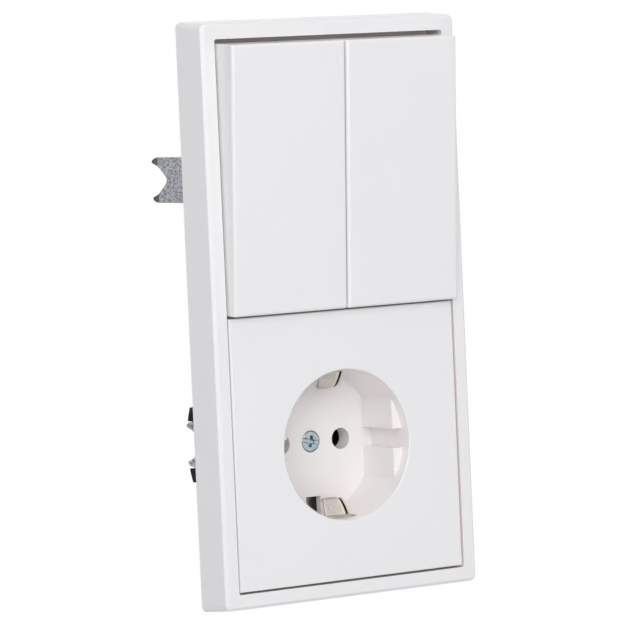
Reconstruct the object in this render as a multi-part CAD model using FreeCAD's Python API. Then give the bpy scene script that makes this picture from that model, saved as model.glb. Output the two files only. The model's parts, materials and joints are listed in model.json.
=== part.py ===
import FreeCAD, Part
import math
import os

# A flush-mounted double rocker switch above an earthed socket outlet, in one
# two-gang cover frame. Millimetres. X runs right, Y runs back into the wall and
# Z runs up. The origin is the middle of the frame's back face, on the wall plane.

SIDES = (-1, 1)

# Fits and small gaps
SCREW_FIT = 0.05
PIVOT_FIT = 0.05
SLIDE_FIT = 0.05
FREE_GAP = 0.3
OVERCUT = 1.0
TOUCH = 0.01
SMALL_ROUND_SIDES = 12
LARGE_ROUND_SIDES = 32

# Plug recess and the cup around it
RECESS_RADIUS = 19.6
RECESS_DEPTH = 17.3
RECESS_LIP = 0.5
CUP_WALL = 1.7
CUP_FLOOR = 2.0
CUP_RADIUS = RECESS_RADIUS + CUP_WALL

# Socket base, built out from the cup
CAVITY_GAP = 0.6
CAVITY_FLOOR_GAP = 0.5
SPIGOT_WALL = 1.2
SPIGOT_RISE = 1.6
BASE_FLANGE = 2.4
BASE_DEPTH = 21.0
CAVITY_RADIUS = CUP_RADIUS + CAVITY_GAP
SPIGOT_RADIUS = CAVITY_RADIUS + SPIGOT_WALL
BASE_RADIUS = SPIGOT_RADIUS + BASE_FLANGE

# Support rings of sheet steel, with the slots for the box screws
RING_SHEET = 1.2
RING_CORNER = 7.0
RING_EDGE = 5.3
RING_JOINT = 0.4
RING_FIT = 0.2
BOX_SCREW_ROOM = 4.5
BOX_SLOT_RADIUS = 1.8
BOX_SLOT_LENGTH = 6.4
BOX_SCREW_OFFSET = BASE_RADIUS + BOX_SCREW_ROOM
RING_HALF = BOX_SCREW_OFFSET + RING_EDGE
PITCH = 2 * RING_HALF + RING_JOINT
SWITCH_Z = PITCH / 2
SOCKET_Z = -PITCH / 2

# Rocker hinge line in front of the switch cap
CAP_THICK = 2.0
HINGE_ROOM = 2.8
HINGE_BELOW_FRONT = 4.8
HINGE_Y = -(RING_SHEET + CAP_THICK + HINGE_ROOM)

# Cover frame
RING_PLAY = 0.4
COVER_PLAY = 0.5
FRAME_BORDER = 4.8
FRAME_DRAFT = 0.9
FRAME_CORNER = 1.8
FRAME_EDGE = 0.75
APERTURE_CORNER = 0.6
LEDGE_WIDTH = 3.1
LEDGE_THICK = 2.4
WEB_HALF = 1.9
FRAME_OUTER_WALL = 1.6
FRAME_INNER_WALL = 1.3
FRAME_SKIN = 1.8
FRAME_RIB = 1.2
FRAME_RIB_DROP = 1.0
FRAME_RIBS_ACROSS = 3
FRAME_RIBS_UP = 7
FRAME_DEPTH = HINGE_BELOW_FRONT - HINGE_Y
LEDGE_FRONT = RING_SHEET + LEDGE_THICK
APERTURE_HALF = RING_HALF + RING_PLAY
COVER_HALF = APERTURE_HALF - COVER_PLAY
FRAME_HALF = APERTURE_HALF + FRAME_BORDER

# Claws: a short leg held at its inner end, and a long forked leg
CLAW_FLAT = 1.5
CLAW_HEIGHT = 12.0
CLAW_SHEET = 1.2
CLAW_BEND = 1.3
CLAW_INSET = 0.1
CLAW_PIVOT_Y = 3.6
CLAW_CORNER_OUT = 4.4
CLAW_TIP_OUT = 1.4
CLAW_TIP_RUN = 2.3
CLAW_NOTCH_RADIUS = 3.2
CLAW_NOTCH_DEPTH = 5.0
CLAW_TOOTH_ROUND = 1.3
CLAW_ROOM = 0.25
CLAW_SCREW_OUT = 1.9
CLAW_SCREW_RADIUS = 1.45
CLAW_SCREW_HEAD_RADIUS = 2.4
CLAW_SCREW_HEAD = 1.6
CLAW_SCREW_SLOT = 0.8
CLAW_SCREW_BITE = 5.9
CLAW_SCREW_SWING = 0.2
CLAW_WALL_X = BASE_RADIUS - CLAW_FLAT
CLAW_PIVOT_X = CLAW_WALL_X - CLAW_INSET
CLAW_CORNER_X = CLAW_WALL_X + CLAW_CORNER_OUT
CLAW_SCREW_X = CLAW_WALL_X + CLAW_SCREW_OUT
CLAW_SCREW_END_Y = CLAW_PIVOT_Y + CLAW_SCREW_BITE
SWITCH_CLAW_DROP = 0.5
SWITCH_CLAW_Z = SWITCH_Z - SWITCH_CLAW_DROP
SWITCH_CLAW_REACH = 31.3
SOCKET_CLAW_RISE = 0.75
SOCKET_CLAW_Z = SOCKET_Z + SOCKET_CLAW_RISE
SOCKET_CLAW_REACH = 19.6

# Switch base and its front cap
SWITCH_BASE_STEP = 1.0
SWITCH_BASE_DEPTH = 21.5
CAP_CORNER = 2.0
CAP_SCREW_ROOM = 2.0
CAP_END_ROOM = 8.5
CAP_STEP_X = 4.2
CAP_STEP_Z = 2.2
CAP_WINDOW_X = 4.6
CAP_WINDOW_Z = 5.2
SWITCH_BASE_RADIUS = BASE_RADIUS - SWITCH_BASE_STEP
CAP_HALF_X = CLAW_SCREW_X - CLAW_SCREW_HEAD_RADIUS - CAP_SCREW_ROOM
CAP_HALF_Z = SWITCH_BASE_RADIUS - CAP_END_ROOM

# Rockers and the carriers that they are clipped on
ROCKER_SPLIT = 0.44
ROCKER_END_GAP = 0.95
ROCKER_FACE = 10.0
ROCKER_SKIRT_END = 0.5
ROCKER_WALL = 1.6
ROCKER_SKIN = 2.2
ROCKER_EDGE = 0.9
ROCKER_TILT = 3.5
ROCKER_SEAT_INSET = 1.0
ROCKER_SEAT_HALF = 11.0
ROCKER_SEAT_RIB = 1.2
ROCKER_POST_ROOM = 0.6
HINGE_PIN_RADIUS = 1.5
POST_THICK = 2.9
POST_HALF = 3.6
POST_CAP = 2.6
POST_EDGE = 0.5
CARRIER_GAP = 0.18
CARRIER_SKIN = 0.1
CARRIER_END_INSET = 2.0
CARRIER_TUBE_RADIUS = 3.4
CARRIER_TUBE_END = 3.0
CARRIER_PIN_INSET = 0.2
MIDDLE_POST_HALF = 1.2
CARRIER_INNER = ROCKER_SPLIT / 2 + ROCKER_WALL + CARRIER_GAP
CARRIER_OUTER = CAP_HALF_X - POST_EDGE - POST_THICK - FREE_GAP
CARRIER_HALF_THICK = HINGE_PIN_RADIUS + CARRIER_SKIN
CARRIER_HALF_HEIGHT = CAP_HALF_Z - CARRIER_END_INSET
LEVER_X = (CARRIER_INNER + CARRIER_OUTER) / 2

# Contact levers under the plungers
LEVER_PIVOT_Y = 12.2
LEVER_TILT = 6.0
LEVER_HALF_WIDTH = 3.0
LEVER_HALF_LENGTH = 9.0
LEVER_THICK = 0.8
LEVER_BACK = 0.2
LEVER_PIN_RADIUS = 0.8
LEVER_PIN_REACH = 4.5
PLUNGER_RADIUS = 2.0
PLUNGER_TIP = 2.0
PLUNGER_TIP_RADIUS = 1.1
PLUNGER_GAP = 0.25
PLUNGER_SEAT = 1.0
CONTACT_RADIUS = 1.6
CONTACT_HEIGHT = 0.8
CONTACT_OFFSET = 7.6
CONTACT_PLATE = 0.8
CONTACT_PLATE_HALF = 2.6
CHAMBER_HALF_WIDTH = 3.5
CHAMBER_HALF_HEIGHT = 11.0
CHAMBER_BEHIND_PIVOT = 3.6
CHAMBER_MOUTH = 1.5
CHAMBER_FLOOR_Y = LEVER_PIVOT_Y + CHAMBER_BEHIND_PIVOT
PLUNGER_END_Y = LEVER_PIVOT_Y - LEVER_THICK - PLUNGER_GAP

# Plate on the switch ring that holds the frame
HOLDER_GAP = 0.1
HOLDER_CORNER = 4.0
HOLDER_LIP = 1.0
HOLDER_LIP_DEPTH = 1.0
HOLDER_LIP_HALF = 5.0
HOLDER_LIP_INSET = 12.3
HOLDER_LIP_ROOT = 2.0
BOX_HEAD_RADIUS = 4.2
HOLDER_HALF = APERTURE_HALF - LEDGE_WIDTH - FREE_GAP

# Rivets that hold the rings on the bases
RIVET_RADIUS = 1.2
RIVET_HEAD_RADIUS = 2.1
RIVET_HEAD = 0.8
RIVET_DEPTH = 6.0
RIVET_EDGE = 2.3
SWITCH_RIVET_X = 10.5
SWITCH_RIVET_Z = CAP_HALF_Z + RIVET_HEAD_RADIUS + FREE_GAP

# Socket cover
COVER_EDGE = 0.6
COVER_SKIN = 2.2
COVER_WALL = 1.6
PAD_THICK = 3.0
PAD_LEDGE = 3.3
PAD_EDGE = 0.35
GROOVE_WIDTH = 5.1
PIN_SPACING = 19.0
PIN_HOLE_RADIUS = 2.8
PIN_HOLE_DEPTH = 4.7
PIN_BOSS_WALL = 1.4
FLOOR_SLOT_HALF = 2.3
FLOOR_SLOT_LENGTH = 5.0
CENTRE_HEAD_RADIUS = 2.75
CENTRE_HEAD = 2.0
CENTRE_HEAD_PLAY = 0.15
CENTRE_SCREW_RADIUS = 1.45
CENTRE_SCREW_BITE = 6.3
CENTRE_SCREW_PLAY = 0.25
CENTRE_BOSS_WALL = 1.0
CENTRE_BOSS_DEPTH = 4.0
SLOT_WIDTH = 1.0
SLOT_DEPTH = 0.7
CROSS_WIDTH = 0.9
CROSS_LENGTH = 3.0
CROSS_DEPTH = 1.2
RECESS_FLOOR_Y = RECESS_DEPTH - FRAME_DEPTH
CUP_BACK_Y = RECESS_FLOOR_Y + CUP_FLOOR
CAVITY_FLOOR_Y = CUP_BACK_Y + CAVITY_FLOOR_GAP
PAD_X = RECESS_RADIUS - PAD_THICK
PIN_X = PIN_SPACING / 2
PIN_BOSS_RADIUS = PIN_HOLE_RADIUS + PIN_BOSS_WALL
PIN_HOLE_END_Y = RECESS_FLOOR_Y + PIN_HOLE_DEPTH
CENTRE_SEAT_RADIUS = CENTRE_HEAD_RADIUS + CENTRE_HEAD_PLAY

# Earth bracket. The clip's middle line is given as (Y from the recess floor,
# distance out from the recess wall): over the cup's edge and down into the recess.
BRACKET_SHEET = 0.7
BRACKET_BEND = 0.9
BEND_SHARE = 0.45
CLIP_FOLD = ((-11.1, 2.5), (-12.5, 1.6), (-12.2, 0.2), (-10.8, -0.6))
CLIP_TONGUE = ((-9.2, -4.65), (-8.0, -4.85), (-7.1, -4.3))
CLIP_LINE = CLIP_FOLD + CLIP_TONGUE
CLIP_ROOT_Y, CLIP_ROOT = CLIP_FOLD[-1]
CLIP_NOSE = CLIP_TONGUE[0][1]
CLIP_TIP_Y = CLIP_TONGUE[-1][0]
CLIP_TOP_Y = CLIP_FOLD[1][0]
CLIP_LEG = CLIP_FOLD[0][1]
CLIP_HALF = 4.2
CLIP_NOSE_HALF = 3.1
CLIP_SLIT = 0.45
CLIP_WING = 0.85
CLIP_WING_NOSE = 0.4
CLIP_SLIT_START = 1.0
CLIP_WINDOW_SIDE = 0.6
CLIP_WINDOW_FRONT = 1.3
CLIP_WINDOW_BACK = 1.2
CLIP_WINDOW_DEPTH = 4.3
BRACKET_Y = RECESS_FLOOR_Y + CENTRE_BOSS_DEPTH + BRACKET_SHEET / 2
BRACKET_BACK_Y = BRACKET_Y + BRACKET_SHEET / 2
CENTRE_SCREW_END_Y = BRACKET_BACK_Y + CENTRE_SCREW_BITE

# Pin contacts, claw guides and the block behind the socket base
SLEEVE_RADIUS = 3.2
SLEEVE_BORE = 2.45
SLEEVE_GAP = 3.0
SLEEVE_LENGTH = 12.0
SLEEVE_SLIT = 1.0
SLEEVE_SOLID_END = 3.0
REAR_BLOCK_COVER = 4.8
REAR_BLOCK_INSET_X = 6.0
REAR_BLOCK_INSET_Z = 9.0
REAR_BLOCK_CORNER = 3.0
GUIDE_INSET = 0.5
GUIDE_INNER_X = 15.0
GUIDE_DEPTH = 22.6
GUIDE_HEIGHT = 19.7
GUIDE_BEVEL = 1.7
SLEEVE_FRONT_Y = PIN_HOLE_END_Y + SLEEVE_GAP
SLEEVE_END_Y = SLEEVE_FRONT_Y + SLEEVE_LENGTH
REAR_BLOCK_Y = SLEEVE_END_Y + REAR_BLOCK_COVER
REAR_BLOCK_X = BASE_RADIUS - REAR_BLOCK_INSET_X
REAR_BLOCK_Z = BASE_RADIUS - REAR_BLOCK_INSET_Z
GUIDE_X = CLAW_CORNER_X - GUIDE_INSET
CLAW_CHANNEL_HALF = CLAW_HEIGHT / 2 + CLAW_ROOM
SOCKET_RIVET_X = GUIDE_X - RIVET_EDGE
SOCKET_RIVET_Z = (CLAW_CHANNEL_HALF + GUIDE_HEIGHT / 2) / 2

# Wire holes and release buttons on the backs of the two bases
WIRE_HOLE_RADIUS = 1.5
WIRE_HOLE_DEPTH = 9.0
WIRE_ROW_INSET = 7.5
WIRE_INNER_X = 4.0
WIRE_OUTER_X = 11.0
SWITCH_WIRE_ROW = SWITCH_BASE_RADIUS - WIRE_ROW_INSET
SOCKET_WIRE_INSET = 4.0
SOCKET_WIRE_GAP = 9.0
SOCKET_EARTH_GAP = 6.4
BUTTON_WIDTH = 6.0
BUTTON_HEIGHT = 3.4
BUTTON_LENGTH = 4.3
BUTTON_STANDOUT = 1.1
BUTTON_TRAVEL = 1.0
BUTTON_NOTCH = 0.6
BUTTON_ABOVE_WIRES = 4.4
SOCKET_BUTTON_INSET_X = 5.0
SOCKET_BUTTON_INSET_Z = 6.0
SWITCH_BUTTON = ((WIRE_INNER_X + WIRE_OUTER_X) / 2, BUTTON_ABOVE_WIRES - SWITCH_WIRE_ROW)
SOCKET_BUTTON = (REAR_BLOCK_X - SOCKET_BUTTON_INSET_X, REAR_BLOCK_Z - SOCKET_BUTTON_INSET_Z)


def vec(x, y, z):
    return FreeCAD.Vector(x, y, z)


def block(x_range, y_range, z_range):
    corner = vec(min(x_range), min(y_range), min(z_range))
    size = [max(r) - min(r) for r in (x_range, y_range, z_range)]
    return Part.makeBox(size[0], size[1], size[2], corner)


def rod_y(radius, x, z, y0, y1):
    return Part.makeCylinder(radius, y1 - y0, vec(x, y0, z), vec(0, 1, 0))


def rod_x(radius, x0, x1, y, z):
    return Part.makeCylinder(radius, x1 - x0, vec(x0, y, z), vec(1, 0, 0))


def many_sided(radius, sides):
    """Corners of a regular outline that lie on a circle."""
    turns = [2 * math.pi * (step + 0.5) / sides for step in range(sides)]
    return [(radius * math.cos(turn), radius * math.sin(turn)) for turn in turns]


def peg_y(radius, x, z, y0, y1, sides=SMALL_ROUND_SIDES):
    """Hidden round with few sides, inside its radius."""
    corners = [vec(x + right, y0, z + up) for right, up in many_sided(radius, sides)]
    return prism(corners, vec(0, y1 - y0, 0))


def hole_y(radius, x, z, y0, y1, sides=SMALL_ROUND_SIDES):
    """Hidden hole with few sides, outside its radius, so that a round shank clears it."""
    return peg_y(radius / math.cos(math.pi / sides), x, z, y0, y1, sides)


def hole_x(radius, x0, x1, y, z):
    outside = radius / math.cos(math.pi / SMALL_ROUND_SIDES)
    corners = [vec(x0, y + back, z + up) for back, up in many_sided(outside, SMALL_ROUND_SIDES)]
    return prism(corners, vec(x1 - x0, 0, 0))


def fused(shapes):
    return shapes[0].multiFuse(shapes[1:]).removeSplitter()


def prism(points, run):
    """Closed outline of points, extruded along a vector."""
    return Part.Face(Part.makePolygon(points + points[:1])).extrude(run)


def revolved(profile, z):
    """Solid turned about the Y axis at height z from a profile of (radius, Y) points."""
    points = [vec(radius, y, z) for radius, y in profile]
    face = Part.Face(Part.makePolygon(points + points[:1]))
    return face.revolve(vec(0, 0, z), vec(0, 1, 0), 360)


def rounded_plate(half_x, half_z, corner, y0, y1, z=0.0):
    plate = block((-half_x, half_x), (y0, y1), (z - half_z, z + half_z))
    return plate.makeFillet(corner, edges_where(plate, lambda b: b.XLength + b.ZLength < TOUCH))


def edges_where(shape, wanted):
    return [edge for edge in shape.Edges if wanted(edge.BoundBox)]


def round_box(x_range, y_range, z_range, edge):
    """Box with a rounded front edge all round."""
    solid = block(x_range, y_range, z_range)
    front = min(y_range)
    return solid.makeFillet(edge, edges_where(solid, lambda b: b.YMax < front + TOUCH))


def bent(points, radius):
    """Line of points with each corner eased into a short bend of two chords."""
    line = [points[0]]
    for before, corner, after in zip(points, points[1:], points[2:]):
        lengths = (math.dist(before, corner), math.dist(corner, after))
        turn = math.atan2(after[1] - corner[1], after[0] - corner[0])
        turn -= math.atan2(corner[1] - before[1], corner[0] - before[0])
        turn = abs((turn + math.pi) % (2 * math.pi) - math.pi)
        cut = min(radius * math.tan(turn / 2), BEND_SHARE * min(lengths))
        start = [c + (b - c) * cut / lengths[0] for b, c in zip(before, corner)]
        end = [c + (a - c) * cut / lengths[1] for a, c in zip(after, corner)]
        middle = [(s + 2 * c + e) / 4 for s, c, e in zip(start, corner, end)]
        line += [tuple(start), tuple(middle), tuple(end)]
    return line + [points[-1]]


def sheet(points, thickness, place, low, high):
    """Bent sheet of one thickness along a line of points, swept from low to high."""
    headings = [math.atan2(b[1] - a[1], b[0] - a[0]) for a, b in zip(points, points[1:])]
    sides = ([], [])
    for point, first, last in zip(points, headings[:1] + headings, headings + headings[-1:]):
        half_turn = (last - first + math.pi) % (2 * math.pi) / 2 - math.pi / 2
        reach = thickness / 2 / math.cos(half_turn)
        right = reach * math.sin(first + half_turn)
        up = reach * math.cos(first + half_turn)
        for side, row in zip(SIDES, sides):
            row.append((point[0] - side * right, point[1] + side * up))
    ring = [place(point, low) for point in sides[0] + sides[1][::-1]]
    return prism(ring, place((0, 0), high) - place((0, 0), low))


def across_x(point, x):
    return vec(x, point[0], point[1])


def across_z(point, z):
    return vec(point[0], point[1], z)


def tilted(shape, y, z, degrees):
    turned = shape.copy()
    turned.rotate(vec(0, y, z), vec(1, 0, 0), degrees)
    return turned


def sided(side, shape):
    return shape if side > 0 else shape.mirror(vec(0, 0, 0), vec(1, 0, 0))


def cover_frame():
    back_x, front_x = FRAME_HALF, FRAME_HALF - FRAME_DRAFT
    back_z, front_z = back_x + PITCH / 2, front_x + PITCH / 2
    start = (-front_x, -FRAME_DEPTH, -front_z, -back_z, -back_x)
    outer = Part.makeWedge(*start, front_x, 0, front_z, back_z, back_x)
    outer = outer.makeFillet(FRAME_CORNER, edges_where(outer, lambda b: b.YLength > FRAME_DEPTH / 2))
    outer = outer.makeChamfer(FRAME_EDGE, edges_where(outer, lambda b: b.YMax < TOUCH - FRAME_DEPTH))
    half_x = APERTURE_HALF
    half_z = half_x + PITCH / 2
    front = rounded_plate(half_x, half_z, APERTURE_CORNER, -FRAME_DEPTH - OVERCUT, -LEDGE_FRONT)
    back = block((-half_x, half_x), (-RING_SHEET, OVERCUT), (-half_z, half_z))
    inner_x, inner_z = half_x - LEDGE_WIDTH, half_z - LEDGE_WIDTH
    lower = block((-inner_x, inner_x), (-FRAME_DEPTH, OVERCUT), (-inner_z, inner_z))
    web = block((-half_x, half_x), (-LEDGE_FRONT, -RING_SHEET), (-WEB_HALF, WEB_HALF))
    return outer.cut([front, back, lower.cut(web), frame_channel()])


def frame_channel():
    """Hollow behind the border, crossed by stiffening ribs."""
    top = FRAME_SKIN - FRAME_DEPTH
    halves = []
    for half_x in (FRAME_HALF - FRAME_OUTER_WALL, APERTURE_HALF + FRAME_INNER_WALL):
        half_z = half_x + PITCH / 2
        halves.append(block((-half_x, half_x), (top, OVERCUT), (-half_z, half_z)))
    channel = halves[0].cut(halves[1])
    high = FRAME_HALF + PITCH / 2
    ribs = []
    for step in range(FRAME_RIBS_UP):
        z = high * (2 * step + 1 - FRAME_RIBS_UP) / FRAME_RIBS_UP
        z_range = (z - FRAME_RIB / 2, z + FRAME_RIB / 2)
        ribs.append(block((-FRAME_HALF, FRAME_HALF), (top, -FRAME_RIB_DROP), z_range))
    for step in range(FRAME_RIBS_ACROSS):
        x = FRAME_HALF * (2 * step + 1 - FRAME_RIBS_ACROSS) / FRAME_RIBS_ACROSS
        ribs.append(block((x - FRAME_RIB / 2, x + FRAME_RIB / 2), (top, -FRAME_RIB_DROP), (-high, high)))
    return channel.cut(ribs)


def rocker(side):
    """One rocker in its neutral pose, then tipped with its top out."""
    inner = ROCKER_SPLIT / 2
    half = APERTURE_HALF - ROCKER_END_GAP
    low, high = SWITCH_Z - half, SWITCH_Z + half
    front = HINGE_Y - ROCKER_FACE
    back = HINGE_Y - ROCKER_SKIRT_END
    shell = round_box((inner, COVER_HALF), (front, back), (low, high), ROCKER_EDGE)
    wall = ROCKER_WALL
    hollow_x = (inner + wall, COVER_HALF - wall)
    hollow = block(hollow_x, (front + ROCKER_SKIN, back + OVERCUT), (low + wall, high - wall))
    notch_z = POST_HALF + ROCKER_POST_ROOM
    notch_y = (HINGE_Y - POST_CAP - ROCKER_POST_ROOM, back + OVERCUT)
    notch = block((0, inner + wall + OVERCUT), notch_y, (SWITCH_Z - notch_z, SWITCH_Z + notch_z))
    shell = shell.cut([hollow, notch])
    y_range = (front + ROCKER_SKIN - TOUCH, HINGE_Y - CARRIER_HALF_THICK)
    ribs = []
    rib_x = (CARRIER_INNER + ROCKER_SEAT_INSET, CARRIER_OUTER - ROCKER_SEAT_INSET)
    rib_z = (SWITCH_Z - ROCKER_SEAT_HALF, SWITCH_Z + ROCKER_SEAT_HALF)
    for x in (rib_x[0], rib_x[1] - ROCKER_SEAT_RIB):
        ribs.append(block((x, x + ROCKER_SEAT_RIB), y_range, rib_z))
    for z in (rib_z[0], rib_z[1] - ROCKER_SEAT_RIB):
        ribs.append(block(rib_x, y_range, (z, z + ROCKER_SEAT_RIB)))
    body = fused([shell] + ribs)
    return tilted(sided(side, body), HINGE_Y, SWITCH_Z, ROCKER_TILT)


def carrier(side):
    """Inner rocker: hinge pins, a seat for the rocker and the plunger's tube."""
    y0, y1 = HINGE_Y - CARRIER_HALF_THICK, HINGE_Y + CARRIER_HALF_THICK
    z_range = (SWITCH_Z - CARRIER_HALF_HEIGHT, SWITCH_Z + CARRIER_HALF_HEIGHT)
    seat = block((CARRIER_INNER, CARRIER_OUTER), (y0, y1), z_range)
    tube = peg_y(CARRIER_TUBE_RADIUS, LEVER_X, SWITCH_Z, HINGE_Y, CARRIER_TUBE_END)
    pin_end = CARRIER_OUTER + FREE_GAP + POST_THICK
    pin = rod_x(HINGE_PIN_RADIUS, CARRIER_PIN_INSET, pin_end, HINGE_Y, SWITCH_Z)
    body = fused([seat, tube, pin])
    bore = peg_y(PLUNGER_RADIUS + SLIDE_FIT, LEVER_X, SWITCH_Z, y0 + PLUNGER_SEAT, CARRIER_TUBE_END + OVERCUT)
    return tilted(sided(side, body.cut(bore)), HINGE_Y, SWITCH_Z, ROCKER_TILT)


def plunger(side):
    shoulder = PLUNGER_END_Y - PLUNGER_TIP
    seat = HINGE_Y - CARRIER_HALF_THICK + PLUNGER_SEAT
    shank = peg_y(PLUNGER_RADIUS, LEVER_X, SWITCH_Z, seat, shoulder)
    tip = peg_y(PLUNGER_TIP_RADIUS, LEVER_X, SWITCH_Z, shoulder - TOUCH, PLUNGER_END_Y)
    body = fused([shank, tip])
    return tilted(sided(side, body), HINGE_Y, SWITCH_Z, ROCKER_TILT)


def contact_lever(side):
    """Tipping contact bridge, resting on the upper contact."""
    x_range = (LEVER_X - LEVER_HALF_WIDTH, LEVER_X + LEVER_HALF_WIDTH)
    back = LEVER_PIVOT_Y + LEVER_BACK
    z_range = (SWITCH_Z - LEVER_HALF_LENGTH, SWITCH_Z + LEVER_HALF_LENGTH)
    pieces = [block(x_range, (LEVER_PIVOT_Y - LEVER_THICK, back), z_range)]
    pin_x = (LEVER_X - LEVER_PIN_REACH, LEVER_X + LEVER_PIN_REACH)
    pieces.append(rod_x(LEVER_PIN_RADIUS, pin_x[0], pin_x[1], LEVER_PIVOT_Y, SWITCH_Z))
    for end in SIDES:
        z = SWITCH_Z + end * CONTACT_OFFSET
        pieces.append(peg_y(CONTACT_RADIUS, LEVER_X, z, back, back + CONTACT_HEIGHT))
    return tilted(sided(side, fused(pieces)), LEVER_PIVOT_Y, SWITCH_Z, -LEVER_TILT)


def fixed_contacts():
    """Four contact studs on their plates, two for each lever."""
    swing = (CONTACT_OFFSET + CONTACT_RADIUS) * math.sin(math.radians(LEVER_TILT))
    face = LEVER_PIVOT_Y + LEVER_BACK + CONTACT_HEIGHT + swing + SLIDE_FIT
    plate_y = (CHAMBER_FLOOR_Y - CONTACT_PLATE, CHAMBER_FLOOR_Y)
    half = CONTACT_PLATE_HALF
    solids = []
    for x in (-LEVER_X, LEVER_X):
        for end in SIDES:
            z = SWITCH_Z + end * CONTACT_OFFSET
            stud = peg_y(CONTACT_RADIUS, x, z, face, plate_y[0])
            solids.append(fused([stud, block((x - half, x + half), plate_y, (z - half, z + half))]))
    return Part.makeCompound(solids)


def plunger_windows(y0, y1):
    half = CAP_WINDOW_X
    z_range = (SWITCH_Z - CAP_WINDOW_Z, SWITCH_Z + CAP_WINDOW_Z)
    return [block((x - half, x + half), (y0, y1), z_range) for x in (-LEVER_X, LEVER_X)]


def switch_cap():
    """Front cap: carries the hinge pins and lets the plunger tubes through."""
    front = -RING_SHEET - CAP_THICK
    flange = rounded_plate(CAP_HALF_X, CAP_HALF_Z, CAP_CORNER, front, -RING_SHEET, SWITCH_Z)
    spigot_x, spigot_z = CAP_HALF_X - CAP_STEP_X, CAP_HALF_Z - CAP_STEP_Z
    spigot = rounded_plate(spigot_x, spigot_z, CAP_CORNER, -RING_SHEET - TOUCH, 0, SWITCH_Z)
    post_y = (HINGE_Y - POST_CAP, -RING_SHEET)
    z_range = (SWITCH_Z - POST_HALF, SWITCH_Z + POST_HALF)
    posts = [block((-MIDDLE_POST_HALF, MIDDLE_POST_HALF), post_y, z_range)]
    inner = CARRIER_OUTER + FREE_GAP
    for side in SIDES:
        posts.append(block((side * inner, side * (inner + POST_THICK)), post_y, z_range))
    body = fused([flange, spigot] + posts)
    bore = hole_x(HINGE_PIN_RADIUS + PIVOT_FIT, -CAP_HALF_X, CAP_HALF_X, HINGE_Y, SWITCH_Z)
    return body.cut([bore] + plunger_windows(front - OVERCUT, OVERCUT))


def claw_wall_cuts(z, depth):
    """Flat side walls and round grooves that hold the claws' inner ends."""
    cuts = []
    low, high = z - CLAW_CHANNEL_HALF, z + CLAW_CHANNEL_HALF
    for side in SIDES:
        x_range = (side * CLAW_WALL_X, side * (BASE_RADIUS + CLAW_CORNER_X))
        cuts.append(block(x_range, (-OVERCUT, depth + OVERCUT), (low, high)))
        start = vec(side * CLAW_PIVOT_X, CLAW_PIVOT_Y, low)
        cuts.append(Part.makeCylinder(CLAW_SHEET / 2 + PIVOT_FIT, high - low, start, vec(0, 0, 1)))
    return cuts


def rivet_places(unit):
    """Two rivets for each ring, at opposite corners of its base."""
    if unit == "switch":
        return [(side * SWITCH_RIVET_X, SWITCH_Z - side * SWITCH_RIVET_Z) for side in SIDES]
    return [(side * SOCKET_RIVET_X, SOCKET_CLAW_Z - side * SOCKET_RIVET_Z) for side in SIDES]


def rivet_holes(unit):
    radius = RIVET_RADIUS + SCREW_FIT
    return [peg_y(radius, x, z, -RING_SHEET - OVERCUT, RIVET_DEPTH) for x, z in rivet_places(unit)]


def rivets(unit):
    solids = []
    for x, z in rivet_places(unit):
        shank = peg_y(RIVET_RADIUS, x, z, -RING_SHEET - TOUCH, RIVET_DEPTH)
        head = peg_y(RIVET_HEAD_RADIUS, x, z, -RING_SHEET - RIVET_HEAD, -RING_SHEET)
        solids.append(fused([shank, head]))
    return Part.makeCompound(solids)


def wire_holes(places, back):
    return [hole_y(WIRE_HOLE_RADIUS, x, z, back - WIRE_HOLE_DEPTH, back + OVERCUT) for x, z in places]


def button_pockets(place, z, back):
    pockets = []
    depth = BUTTON_LENGTH - BUTTON_STANDOUT + BUTTON_TRAVEL + SLIDE_FIT
    half_x, half_z = BUTTON_WIDTH / 2 + SLIDE_FIT, BUTTON_HEIGHT / 2 + SLIDE_FIT
    for side in SIDES:
        x, z_mid = side * place[0], z + place[1]
        y_range = (back - depth, back + OVERCUT)
        pockets.append(block((x - half_x, x + half_x), y_range, (z_mid - half_z, z_mid + half_z)))
    return pockets


def release_button(side, place, z, back):
    x, z_mid = side * place[0], z + place[1]
    half_x, half_z = BUTTON_WIDTH / 2, BUTTON_HEIGHT / 2
    end = back + BUTTON_STANDOUT
    key = block((x - half_x, x + half_x), (end - BUTTON_LENGTH, end), (z_mid - half_z, z_mid + half_z))
    return key.cut(hole_x(BUTTON_NOTCH, x - BUTTON_WIDTH, x + BUTTON_WIDTH, end, z_mid))


def switch_base():
    body = rod_y(SWITCH_BASE_RADIUS, 0, SWITCH_Z, 0, SWITCH_BASE_DEPTH)
    cuts = claw_wall_cuts(SWITCH_CLAW_Z, SWITCH_BASE_DEPTH) + rivet_holes("switch")
    cuts += plunger_windows(-OVERCUT, CARRIER_TUBE_END + CHAMBER_MOUTH)
    for x in (-LEVER_X, LEVER_X):
        chamber_x = (x - CHAMBER_HALF_WIDTH, x + CHAMBER_HALF_WIDTH)
        chamber_z = (SWITCH_Z - CHAMBER_HALF_HEIGHT, SWITCH_Z + CHAMBER_HALF_HEIGHT)
        cuts.append(block(chamber_x, (-OVERCUT, CHAMBER_FLOOR_Y), chamber_z))
        reach = LEVER_PIN_REACH + SLIDE_FIT
        cuts.append(hole_x(LEVER_PIN_RADIUS + PIVOT_FIT, x - reach, x + reach, LEVER_PIVOT_Y, SWITCH_Z))
    wires = []
    for side in SIDES:
        wires += [(side * WIRE_INNER_X, SWITCH_Z + end * SWITCH_WIRE_ROW) for end in SIDES]
        wires.append((side * WIRE_OUTER_X, SWITCH_Z - SWITCH_WIRE_ROW))
    cuts += wire_holes(wires, SWITCH_BASE_DEPTH)
    cuts += button_pockets(SWITCH_BUTTON, SWITCH_Z, SWITCH_BASE_DEPTH)
    return body.cut(cuts)


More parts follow.
